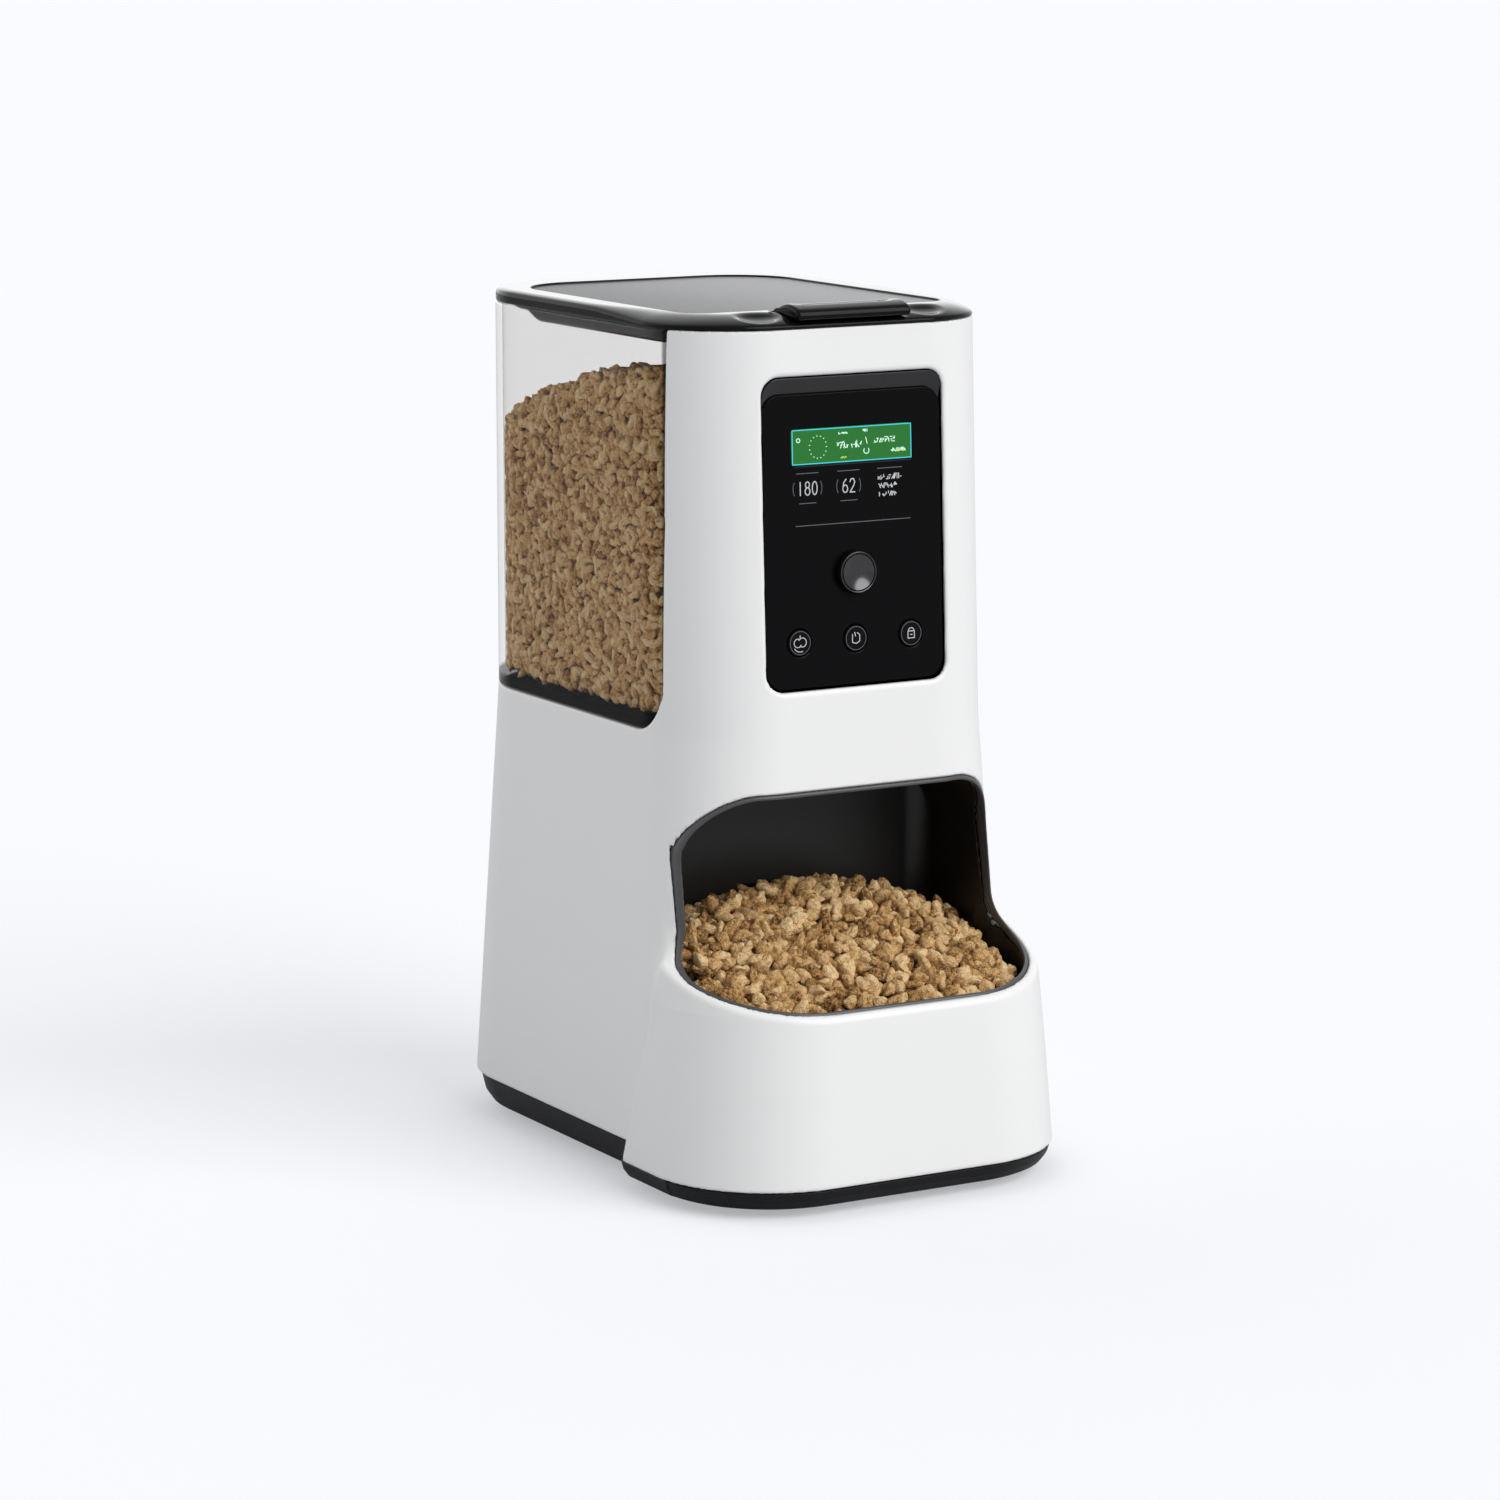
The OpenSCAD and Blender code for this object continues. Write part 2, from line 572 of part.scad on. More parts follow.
// ---------- bowl ----------
module bowl_shape(g, z0, z1) {
  translate([0, 0, z0]) linear_extrude(z1 - z0)
    polygon(stepped(75.7 - g, alcove_half - 0.8 - g, -117.7 + g, -73, alcove_back - 1.2 - g,
      43.2 - g, 14 - g / 2));
}
module feeding_bowl() {
  color([0.1, 0.1, 0.1]) difference() {
    union() {
      bowl_shape(0, 72.5, 75.5);
      bowl_shape(3, alcove_floor + seat, 73);
    }
    bowl_shape(5.2, alcove_floor + seat + 2.2, 80);
  }
}
module bowl_food() {
  color([0.72, 0.55, 0.36]) loft([for (q = [[0, 43], [0, 60], [0, 72], [0.2, 85],
      [0.4, 96], [0.62, 105.5], [0.82, 111.5], [0.97, 114.5]])
    let(o = outline(65.1, -112, -24.9, 38.4, 12.5, 8), c = [-8, -46])
    [for (p = o) [p[0] * (1 - q[0]) + c[0] * q[0], p[1] * (1 - q[0]) + c[1] * q[0], q[1]]]]);
}

// ---------- controls ----------
module control_knob() {
  d = panel_depth;
  color([0.08, 0.08, 0.08]) difference() {
    union() {
      face_cyl(0, knob_z, knob_d / 2, d - 2.8, d - 0.4);
      face_cyl(0, knob_z, knob_d / 2 - 0.9, d - 3.7, d - 2.6);
      face_cyl(0, knob_z, 3, d - 0.6, d + 6.7);
    }
    face_cyl(0, knob_z, 6, d - 5, d - 3.1);
  }
}
module button_at(k) {
  color([0.07, 0.07, 0.08]) {
    face_cyl(k * button_pitch, button_z, button_d / 2, panel_depth - 0.6, panel_depth + 3);
    face_cyl(k * button_pitch, button_z, 2, panel_depth + 2.9, panel_depth + 4.9);
  }
}
module button_left() { button_at(-1); }
module button_middle() { button_at(0); }
module button_right() { button_at(1); }

base_pan();
housing_shell();
alcove_liner();
control_panel();
lcd_lens();
lcd_module();
control_pcb();
tact_switches();
encoder_body();
electronics_cover();
rotor_housing();
dispensing_chute();
motor_bracket();
gear_motor();
main_pcb();
battery_holder();
battery_cells();
battery_contacts();
usb_c_inlet();
rubber_feet();
base_screws();
hopper_tank();
outlet_collar();
hopper_food();
hinge_pin();
lid_frame();
lid_window();
lid_gasket();
latch_pin();
lid_latch();
feeding_bowl();
bowl_food();
control_knob();
button_left();
button_middle();
button_right();
rotor_impeller();
drive_gear();
motor_pinion();
battery_door();
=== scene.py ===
"""Automatic pet feeder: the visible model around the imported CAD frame. Lengths in mm inside, metres out."""
import math
import bpy
import numpy as np
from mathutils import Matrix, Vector


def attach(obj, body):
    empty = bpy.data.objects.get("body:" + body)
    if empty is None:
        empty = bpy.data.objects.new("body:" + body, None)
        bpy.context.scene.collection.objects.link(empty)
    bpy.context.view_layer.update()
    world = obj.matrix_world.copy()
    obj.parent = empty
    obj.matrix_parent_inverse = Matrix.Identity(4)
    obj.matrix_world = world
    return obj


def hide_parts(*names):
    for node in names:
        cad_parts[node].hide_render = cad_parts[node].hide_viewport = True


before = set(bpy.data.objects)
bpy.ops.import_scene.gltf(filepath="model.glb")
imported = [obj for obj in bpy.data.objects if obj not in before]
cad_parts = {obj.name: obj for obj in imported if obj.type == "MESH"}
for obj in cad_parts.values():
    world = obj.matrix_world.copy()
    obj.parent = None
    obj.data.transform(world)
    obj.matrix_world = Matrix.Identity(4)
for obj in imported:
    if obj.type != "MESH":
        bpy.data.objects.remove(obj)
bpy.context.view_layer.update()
MM = 0.001

# ------------------------------------------------------------------ materials


def material(name, base, rough=0.4, metal=0.0, bump=0.0, scale=400.0, vary=0.0, ior=None,
             rough_vary=0.0, coat=0.0, detail=3.0, distance=0.0002):
    """Principled material whose colour, roughness and bump come from noise at the given scale (1/m)."""
    m = bpy.data.materials.new(name)
    m.use_nodes = True
    nt = m.node_tree
    bsdf = nt.nodes["Principled BSDF"]
    bsdf.inputs["Metallic"].default_value = metal
    if ior:
        bsdf.inputs["IOR"].default_value = ior
    if coat:
        bsdf.inputs["Coat Weight"].default_value = coat
        bsdf.inputs["Coat Roughness"].default_value = 0.05
    tex = nt.nodes.new("ShaderNodeTexCoord")
    noise = nt.nodes.new("ShaderNodeTexNoise")
    noise.inputs["Scale"].default_value = scale
    noise.inputs["Detail"].default_value = detail
    nt.links.new(tex.outputs["Object"], noise.inputs["Vector"])
    ramp = nt.nodes.new("ShaderNodeValToRGB")
    lo = [c * (1 - vary) for c in base[:3]] + [1]
    hi = [min(1, c * (1 + vary)) for c in base[:3]] + [1]
    ramp.color_ramp.elements[0].position, ramp.color_ramp.elements[1].position = 0.3, 0.7
    ramp.color_ramp.elements[0].color, ramp.color_ramp.elements[1].color = lo, hi
    nt.links.new(noise.outputs["Fac"], ramp.inputs["Fac"])
    nt.links.new(ramp.outputs["Color"], bsdf.inputs["Base Color"])
    if rough_vary:
        span = nt.nodes.new("ShaderNodeMapRange")
        span.inputs["To Min"].default_value = rough - rough_vary
        span.inputs["To Max"].default_value = rough + rough_vary
        nt.links.new(noise.outputs["Fac"], span.inputs["Value"])
        nt.links.new(span.outputs["Result"], bsdf.inputs["Roughness"])
    else:
        bsdf.inputs["Roughness"].default_value = rough
    if bump:
        b = nt.nodes.new("ShaderNodeBump")
        b.inputs["Strength"].default_value = bump
        b.inputs["Distance"].default_value = distance
        nt.links.new(noise.outputs["Fac"], b.inputs["Height"])
        nt.links.new(b.outputs["Normal"], bsdf.inputs["Normal"])
    return m


FOOT_SHADE_BAND = (0.1885, 0.1905)     # painted shade where the tank's thick foot is seen through, fading out between these heights
FRONT_SHADE_BAND = (-0.0508, -0.0522)  # and painted shade at its front edge, fading out between these depths


def clear_material(name, tint, edge, gloss=0.03):
    """Thin clear plastic: see-through with Fresnel gloss, with painted shade in its tint at the tank's thick
    foot and front edge.
    """
    m = bpy.data.materials.new(name)
    m.use_nodes = True
    nt = m.node_tree
    nt.nodes.remove(nt.nodes["Principled BSDF"])
    out = nt.nodes["Material Output"]
    see = nt.nodes.new("ShaderNodeBsdfTransparent")
    shine = nt.nodes.new("ShaderNodeBsdfGlossy")
    shine.inputs["Roughness"].default_value = gloss
    coord = nt.nodes.new("ShaderNodeTexCoord")
    axes = nt.nodes.new("ShaderNodeSeparateXYZ")
    nt.links.new(coord.outputs["Object"], axes.inputs[0])
    foot = nt.nodes.new("ShaderNodeMapRange")
    foot.inputs["From Min"].default_value, foot.inputs["From Max"].default_value = FOOT_SHADE_BAND[1], FOOT_SHADE_BAND[0]
    nt.links.new(axes.outputs["Z"], foot.inputs["Value"])
    fore = nt.nodes.new("ShaderNodeMapRange")
    fore.inputs["From Min"].default_value, fore.inputs["From Max"].default_value = FRONT_SHADE_BAND
    nt.links.new(axes.outputs["Y"], fore.inputs["Value"])
    # painted shade mask: the larger of the foot and front-edge bands darkens the see-through tint
    top = nt.nodes.new("ShaderNodeMath")
    top.operation = "MAXIMUM"
    nt.links.new(foot.outputs["Result"], top.inputs[0])
    nt.links.new(fore.outputs["Result"], top.inputs[1])
    tone = nt.nodes.new("ShaderNodeMix")
    tone.data_type = "RGBA"
    tone.inputs["A"].default_value = (*tint, 1)
    tone.inputs["B"].default_value = (*edge, 1)
    nt.links.new(top.outputs[0], tone.inputs["Factor"])
    nt.links.new(tone.outputs["Result"], see.inputs["Color"])
    fres = nt.nodes.new("ShaderNodeFresnel")
    fres.inputs["IOR"].default_value = 1.2
    geo = nt.nodes.new("ShaderNodeNewGeometry")
    outer = nt.nodes.new("ShaderNodeMath")
    outer.operation = "SUBTRACT"
    outer.inputs[0].default_value = 1.0
    nt.links.new(geo.outputs["Backfacing"], outer.inputs[1])
    shown = nt.nodes.new("ShaderNodeMath")
    shown.operation = "MULTIPLY"
    nt.links.new(fres.outputs["Fac"], shown.inputs[0])
    nt.links.new(outer.outputs[0], shown.inputs[1])
    mix = nt.nodes.new("ShaderNodeMixShader")
    nt.links.new(shown.outputs[0], mix.inputs["Fac"])
    nt.links.new(see.outputs["BSDF"], mix.inputs[1])
    nt.links.new(shine.outputs["BSDF"], mix.inputs[2])
    nt.links.new(mix.outputs["Shader"], out.inputs["Surface"])
    return m


def food_material(name, dark, mid, light):
    """Baked dry food: each piece has its own tone, with pits and crumbs."""
    m = bpy.data.materials.new(name)
    m.use_nodes = True
    nt = m.node_tree
    bsdf = nt.nodes["Principled BSDF"]
    bsdf.inputs["Roughness"].default_value = 0.85
    bsdf.inputs["Specular IOR Level"].default_value = 0.2
    tex = nt.nodes.new("ShaderNodeTexCoord")
    tone = nt.nodes.new("ShaderNodeAttribute")
    tone.attribute_name = "tone"
    coarse = nt.nodes.new("ShaderNodeTexNoise")
    coarse.inputs["Scale"].default_value = 620
    coarse.inputs["Detail"].default_value = 4
    coarse.inputs["Roughness"].default_value = 0.65
    fine = nt.nodes.new("ShaderNodeTexVoronoi")
    fine.inputs["Scale"].default_value = 1500
    nt.links.new(tex.outputs["Object"], coarse.inputs["Vector"])
    nt.links.new(tex.outputs["Object"], fine.inputs["Vector"])
    blend = nt.nodes.new("ShaderNodeMath")
    blend.operation = "MULTIPLY_ADD"
    blend.inputs[1].default_value = 0.95
    nt.links.new(coarse.outputs["Fac"], blend.inputs[0])
    nt.links.new(tone.outputs["Fac"], blend.inputs[2])
    ramp = nt.nodes.new("ShaderNodeValToRGB")
    e = ramp.color_ramp.elements
    e[0].position, e[0].color = 0.34, (*dark, 1)
    e[1].position, e[1].color = 0.92, (*light, 1)
    middle = e.new(0.58)
    middle.color = (*mid, 1)
    nt.links.new(blend.outputs[0], ramp.inputs["Fac"])
    nt.links.new(ramp.outputs["Color"], bsdf.inputs["Base Color"])
    height = nt.nodes.new("ShaderNodeMath")
    height.operation = "MULTIPLY_ADD"
    height.inputs[1].default_value = 0.5
    nt.links.new(fine.outputs["Distance"], height.inputs[0])
    nt.links.new(coarse.outputs["Fac"], height.inputs[2])
    b = nt.nodes.new("ShaderNodeBump")
    b.inputs["Strength"].default_value = 0.9
    b.inputs["Distance"].default_value = 0.0013
    nt.links.new(height.outputs[0], b.inputs["Height"])
    nt.links.new(b.outputs["Normal"], bsdf.inputs["Normal"])
    return m


def glow_material(name, color, strength, base):
    m = material(name, base, 0.25, scale=900, vary=0.06)
    bsdf = m.node_tree.nodes["Principled BSDF"]
    bsdf.inputs["Emission Color"].default_value = (*color, 1)
    bsdf.inputs["Emission Strength"].default_value = strength
    return m


WHITE = material("white_shell", (0.88, 0.88, 0.876), 0.36, vary=0.008, bump=0.04, scale=2600, rough_vary=0.03)
BASE = material("base_dark", (0.009, 0.0095, 0.011), 0.42, ior=1.3, vary=0.08, bump=0.12, scale=2200,
        rough_vary=0.06)
LINER = material("liner_dark", (0.0075, 0.0062, 0.0048), 0.42, vary=0.1, bump=0.1, scale=2400,
        rough_vary=0.05)
TRIM = material("liner_trim", (0.075, 0.076, 0.078), 0.34, vary=0.06, bump=0.06, scale=2400, rough_vary=0.04)
PANEL = material("panel_black", (0.0035, 0.0035, 0.004), 0.16, vary=0.1, scale=1500, rough_vary=0.03,
        ior=1.17)
LID = material("lid_black", (0.004, 0.0042, 0.0048), 0.1, vary=0.1, scale=1500, rough_vary=0.03, ior=1.5)
nt = LID.node_tree
facing = nt.nodes.new("ShaderNodeNewGeometry")
axes = nt.nodes.new("ShaderNodeSeparateXYZ")
nt.links.new(facing.outputs["Normal"], axes.inputs[0])
painted_sheen_by_facing = nt.nodes.new("ShaderNodeMapRange")     # reflection strength follows how far the surface faces up: painted sheen on the flat top, painted shade on its rolled edge
painted_sheen_by_facing.inputs["From Min"].default_value, painted_sheen_by_facing.inputs["From Max"].default_value = 0.9, 0.995
painted_sheen_by_facing.inputs["To Min"].default_value, painted_sheen_by_facing.inputs["To Max"].default_value = 0.12, 0.7
nt.links.new(axes.outputs["Z"], painted_sheen_by_facing.inputs["Value"])
nt.links.new(painted_sheen_by_facing.outputs["Result"], nt.nodes["Principled BSDF"].inputs["Specular IOR Level"])
LIDGLASS = material("lid_smoke", (0.03, 0.031, 0.034), 0.2, vary=0.03, scale=900, rough_vary=0.02, ior=1.04)
nt = LIDGLASS.node_tree
place = nt.nodes.new("ShaderNodeTexCoord")
axes = nt.nodes.new("ShaderNodeSeparateXYZ")
nt.links.new(place.outputs["Object"], axes.inputs[0])
smoke = nt.nodes.new("ShaderNodeMapRange")      # base colour lightens from left to right: painted reflection over the smoky tint
smoke.interpolation_type = "SMOOTHSTEP"
smoke.inputs["From Min"].default_value, smoke.inputs["From Max"].default_value = -0.07, 0.05
nt.links.new(axes.outputs["X"], smoke.inputs["Value"])
tint = nt.nodes.new("ShaderNodeValToRGB")
tint.color_ramp.elements[0].color = (0.045, 0.047, 0.05, 1)
tint.color_ramp.elements[1].color = (0.2, 0.203, 0.21, 1)
nt.links.new(smoke.outputs["Result"], tint.inputs["Fac"])
nt.links.new(tint.outputs["Color"], nt.nodes["Principled BSDF"].inputs["Base Color"])
RUBBER = material("rubber", (0.02, 0.02, 0.021), 0.65, vary=0.15, bump=0.3, scale=1800)
COLLAR = material("collar_dark", (0.006, 0.0055, 0.0055), 0.2, vary=0.15, scale=1400, rough_vary=0.06)
STEEL = material("steel", (0.55, 0.56, 0.58), 0.32, metal=1.0, vary=0.05, bump=0.1, scale=3000,
        rough_vary=0.08)
BRASS = material("brass", (0.72, 0.55, 0.27), 0.3, metal=1.0, vary=0.05, bump=0.1, scale=3000)
BOARD = material("board_green", (0.02, 0.13, 0.05), 0.4, vary=0.25, bump=0.15, scale=700)
MODULE = material("module_grey", (0.25, 0.28, 0.26), 0.5, vary=0.08, bump=0.1, scale=1200)
SWITCH = material("switch_black", (0.03, 0.03, 0.032), 0.5, vary=0.1, bump=0.15, scale=2000)
INNER = material("inner_grey", (0.2, 0.205, 0.215), 0.5, vary=0.06, bump=0.15, scale=1500)
JACKET = material("cell_jacket", (0.05, 0.16, 0.36), 0.3, vary=0.08, bump=0.05, scale=800, coat=0.4)
ROTOR = material("rotor_orange", (0.55, 0.2, 0.06), 0.55, vary=0.08, bump=0.2, scale=1600)
NYLON = material("gear_nylon", (0.74, 0.72, 0.66), 0.42, vary=0.04, bump=0.12, scale=1800)
KNOB = material("knob_black", (0.0025, 0.0025, 0.003), 0.36, vary=0.1, scale=1500, rough_vary=0.03, ior=1.16)
BEZEL = material("panel_bezel", (0.035, 0.035, 0.037), 0.2, metal=0.5, vary=0.06, scale=1500, rough_vary=0.03)
BUTTON = material("button_black", (0.004, 0.004, 0.0045), 0.2, vary=0.1, scale=1500, rough_vary=0.03, ior=1.2)
BOWL = material("bowl_black", (0.014, 0.013, 0.012), 0.4, vary=0.1, bump=0.08, scale=2000)
# dark filler colour: painted shade standing for the food deep in the heap
FOOD_SHADE_FILL = material("food_core_painted_shade", (0.07, 0.04, 0.02), 0.9, vary=0.4, bump=1.0, scale=160, distance=0.003)
HOPPER_FOOD = food_material("dry_food", (0.17, 0.07, 0.022), (0.72, 0.42, 0.175), (1.0, 0.75, 0.43))
BOWL_FOOD = food_material("dry_food_bowl", (0.12, 0.047, 0.012), (0.64, 0.375, 0.145), (1.0, 0.74, 0.41))
TANK = clear_material("smoke_clear", (0.935, 0.93, 0.922), (0.26, 0.25, 0.25))
LCD = glow_material("lcd_green", (0.034, 0.2, 0.04), 0.8, (0.006, 0.03, 0.008))
LCD.node_tree.nodes["Principled BSDF"].inputs["IOR"].default_value = 1.15
RING = material("knob_ring", (0.09, 0.09, 0.095), 0.2, metal=1.0, vary=0.08, scale=1500, rough_vary=0.05)
GOLD = glow_material("lcd_small_marks", (0.6, 0.75, 0.12), 0.7, (0.3, 0.35, 0.08))
CYAN = glow_material("lcd_border", (0.05, 0.55, 0.65), 0.9, (0.02, 0.2, 0.25))
# the panel's printed marks, rules and button rings glow faintly: painted light, they are no lamp
MARK = glow_material("panel_marks", (0.7, 0.72, 0.75), 0.35, (0.4, 0.4, 0.42))
DIM = glow_material("panel_lines", (0.3, 0.32, 0.34), 0.12, (0.09, 0.09, 0.1))
GLYPH = glow_material("lcd_glyphs", (0.6, 0.85, 0.7), 0.75, (0.3, 0.5, 0.4))

for nodes, mat in ((("lcd_module",), MODULE), (("control_pcb", "main_pcb"), BOARD),
                   (("tact_switches",), SWITCH), (("encoder_body", "motor_bracket", "gear_motor",
                   "usb_c_inlet",
                    "base_screws", "battery_contacts", "hinge_pin", "latch_pin"), STEEL),
                   (("electronics_cover", "battery_holder", "battery_door"), BASE),
                   (("rotor_housing", "dispensing_chute", "outlet_collar"), INNER),
                   (("battery_cells",), JACKET), (("rubber_feet",), RUBBER), (("rotor_impeller",), ROTOR),
                   (("drive_gear",), NYLON), (("motor_pinion",), BRASS)):
    for n in nodes:
        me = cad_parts[n].data
        me.materials.clear()
        me.materials.append(mat)

# ------------------------------------------------------------------ distance fields
# Each field is negative inside its piece. Lengths in mm.
SEAM = 344.5         # height of the split between housing and lid
LID_TOP = 350.0
LEAN = 0.0413        # how far the front face leans back per mm of height
PANEL_MID = 262.5    # height of the panel's reference line
WALL = 2.8
SHOULDER = 184       # the tower is straight above this height and widens below it
BUTTON_X, BUTTON_H = 25.7, -41.5
KNOB_H = -15.0
LCD_H = 35.5


def smin(a, b, k):
    h = np.clip(0.5 + 0.5 * (b - a) / k, 0, 1)
    return b * (1 - h) + a * h - k * h * (1 - h)


def smax(a, b, k):
    return -smin(-a, -b, k)


def step(v, a, b):
    t = np.clip((v - a) / (b - a), 0, 1)
    return t * t * (3 - 2 * t)


def corner2(qx, qy, r):
    """Rounded meeting of two half planes, both positive outside."""
    ax, ay = qx + r, qy + r
    return np.hypot(np.maximum(ax, 0), np.maximum(ay, 0)) + np.minimum(np.maximum(ax, ay), 0) - r


def rrect(x, y, w, yf, yb, rf, rb):
    """Plan outline with front and back corner radii."""
    cy, hy = (yf + yb) / 2, (yb - yf) / 2
    r = np.where(y < cy, rf, rb)
    return corner2(np.abs(x) - w, np.abs(y - cy) - hy, r)


def slab(v, lo, hi):
    return np.maximum(lo - v, v - hi)


def hinge_line(y, z):
    """Distance from the lid's hinge pin."""
    return np.hypot(y - 124, z - 346)


def latch_line(y, z):
    """Distance from the latch's pin."""
    return np.hypot(y + 62.5, z - 348.6)


def below(z):
    """How far down the widening part of the tower a height is, 0 to 1 at its foot."""
    return np.clip(SHOULDER - z, 0, None) / 166


def front_y(z):
    return -78 - (SEAM - z) * LEAN


def tower(x, y, z):
    b = below(z)
    return rrect(x, y, 73.5 + 10.5 * b, front_y(z), 122 + 5.5 * b, 40, 48 + 3 * b)


APRON_Z = [0, 11.4, 50, 80, 92, 105, 118]
APRON_W = [89.0, 89.0, 86.4, 84, 81.8, 79, 77.6]
APRON_Y = [-127.5, -127.5, -125.7, -124, -123.1, -122, -120.5]


def apron(x, y, z):
    return rrect(x, y, np.interp(z, APRON_Z, APRON_W), np.interp(z, APRON_Z, APRON_Y), 40, 52, 20)


def rim_height(y):
    """Height of the apron's rim: a straight slope up towards the tower."""
    return 92.4 + (y + 74.9) * 0.268


def alcove(x, y, z, g=0.0):
    """Inside of the feeding alcove, grown by g; its sides flare towards the front edge."""
    hw = 71.5 + 5.0 * step(-y, 57, 73) * step(-z, -110, -90) + g
    front = corner2(np.abs(x) - hw, z - 160 - g, 27 + g)
    plan = rrect(x, y, hw, -118.5 - g, -18 + g, 44 + g, 10 + g)
    return smax(smax(front, plan, 1.0), alcove_low(z, g), 5.0)


def alcove_low(z, g):
    return 40 - g - z


def body(x, y, z):
    """Outside of the white moulding."""
    t = smax(tower(x, y, z), 18 - z, 1.2)
    t = np.maximum(t, z - 344.2)
    a = smax(apron(x, y, z), z - rim_height(y), 2.5)
    a = smax(a, (y + 49 + 0.26 * (z - 18)) * 0.968, 2.5)
    a = smax(a, 11.4 - z, 1.2)
    return t, a


def blend_reach(z):
    """The hollow between rim and tower is wide at the top and narrow down the crease."""
    return 6.0 + 10.0 * step(z, 62, 90)


def skin(x, y, z):
    t, a = body(x, y, z)
    return smin(t, a, blend_reach(z))


def rim_skin(x, y, z):
    """Like skin, but with the apron's rim running on past its front and sides."""
    t = body(x, y, z)[0]
    return smin(t, np.maximum(z - rim_height(y), (y + 49 + 0.26 * (z - 18)) * 0.968), blend_reach(z))


TRIM_WIDTH = 1.8   # of the grey edging round the alcove's mouth


def apron_side(x, y, z):
    """The apron's upright outside below the tower, nothing further up."""
    return np.minimum(apron(x, y, z), tower(x, y, z))


def panel_outline(x, h, w, t, r):
    return corner2(np.abs(x) - w / 2, np.abs(h) - t / 2, r)


def shell(x, y, z):
    hollow = np.minimum(tower(x, y, z) + WALL,
                        np.maximum(np.maximum(apron(x, y, z) + WALL, z - rim_height(y) + 3.6),
                                   (y + 51.5 + 0.26 * (z - 18)) * 0.968))
    f = np.maximum(skin(x, y, z), -hollow)
    f = smax(f, -alcove(x, y, z, TRIM_WIDTH + 0.15), 1.2)
    window = corner2(-53 - y, 184 - z, 20)
    f = smax(f, -window, 1.0)
    d, h = face_local(y, z)
    f = smax(f, -np.maximum(panel_outline(x, h - 1.5, 82.7, 123.7, 7.4), np.abs(d) - 12), 2.4)
    inlet = np.maximum(corner2(np.abs(x) - 5.6, np.abs(z - 35.2) - 2.9, 2.4), 110 - y)
    return smax(f, -inlet, 0.5)


def liner(x, y, z):
    f = smax(alcove(x, y, z, TRIM_WIDTH), -alcove(x, y, z, 0), 0.5)
    f = smax(f, np.maximum(rim_skin(x, y, z) + 2.9, skin(x, y, z) + 1.0), 0.5)
    hole = np.maximum(np.maximum(np.abs(x) - 17, slab(z, 86, 111)), slab(y, -30, -10))
    f = np.maximum(f, slab(z, 37, 165))
    return smax(f, -hole, 0.6)


def trim(x, y, z):
    s = rim_skin(x, y, z)
    f = smax(alcove(x, y, z, TRIM_WIDTH), -alcove(x, y, z, 0), 1.0)
    f = smax(smax(f, s - 0.35, 1.2), -(s + 2.6), 0.6)
    return smax(f, apron_side(x, y, z) + 0.5, 2.4)


def base(x, y, z):
    inset_a = np.interp(z, [3, 4.5, 7.5, 11.2], [7.5, 4.2, 1.9, 0.8])
    inset_t = np.interp(z, [3, 5, 9.5, 17.8], [10.0, 6.8, 3.6, 1.6])
    a = rrect(x, y, 89 - inset_a, -127.5 + inset_a, -40, 52 - inset_a, 8)
    t = rrect(x, y, 84 - inset_t, -92, 127.5 - inset_t, 40, 51 - inset_t)
    outer = smin(smax(a, z - 11.2, 0.8), smax(t, z - 17.8, 0.8), 1.5)
    inner = np.minimum(np.maximum(a + 2.6, y + 44), t + 2.8)
    f = smax(outer, 3 - z, 0.8)
    f = smax(f, -np.maximum(inner, 5.5 - z), 0.5)
    door = np.maximum(np.maximum(np.abs(x) - 54.4, slab(y, 24, 110)), z - 7)
    f = np.maximum(f, -door)
    screws = np.minimum(np.hypot(np.abs(x) - 58, y + 92), np.hypot(np.abs(x) - 66, y - 84))
    f = smax(f, -np.maximum(screws - 3.2, z - 4.4), 0.4)
    return np.maximum(f, -(screws - 1.8))


def lid(x, y, z):
    out = rrect(x, y, 73.5, -78, 121.7, 40, 48)
    wide = 4 + 11 * step(-y, -10, 55)
    fall = 1.2 + 2.9 * step(-y, -10, 55)
    crown = LID_TOP - fall * np.clip((out + wide) / wide, 0, 1) ** 2
    f = smax(out, (z - crown) * 0.95, 1.2)
    f = smax(f, SEAM - z, 0.9)
    hole = rrect(x, y, 57, -51, 97, 10, 26)
    f = smax(f, -hole, 0.4)
    seat = smax(rrect(x, y, 60.2, -54.2, 100.2, 12, 28), 346.5 - z, 0.3)
    f = smax(f, -seat, 0.8)
    latch = smax(np.maximum(np.abs(x) - 26.5, slab(y, -90, -57)), 347.3 - z, 0.6)
    f = smax(f, -latch, 0.7)
    groove = np.maximum(latch_line(y, z) - 3.4, np.abs(x) - 26.5)
    f = smax(f, -groove, 0.4)
    pin = np.maximum(latch_line(y, z) - 1.3, np.abs(x) - 29.2)
    f = np.maximum(f, -pin)
    f = np.maximum(f, -np.maximum(np.abs(x) - 7.8, slab(y, -74.4, -66.2)))
    ax = np.abs(x) - 38
    scoop = np.sqrt(ax * ax * 0.8 + (y + 70) ** 2 + (z - 362.5) ** 2) - 15.8
    f = smax(f, -scoop, 1.2)
    hinge = np.maximum(hinge_line(y, z) - 3.2, np.abs(np.abs(x) - 23) - 6.3)
    f = smax(f, -np.maximum(119.9 - y, np.abs(x) - 16.4), 0.3)
    arm = np.maximum(np.maximum(np.abs(np.abs(x) - 23) - 6.3, slab(y, 117, 124)), slab(z, 346, 349.2))
    f = smin(f, np.minimum(hinge, arm), 0.8)
    return np.maximum(f, -np.maximum(hinge_line(y, z) - 1.56, np.abs(x) - 32))


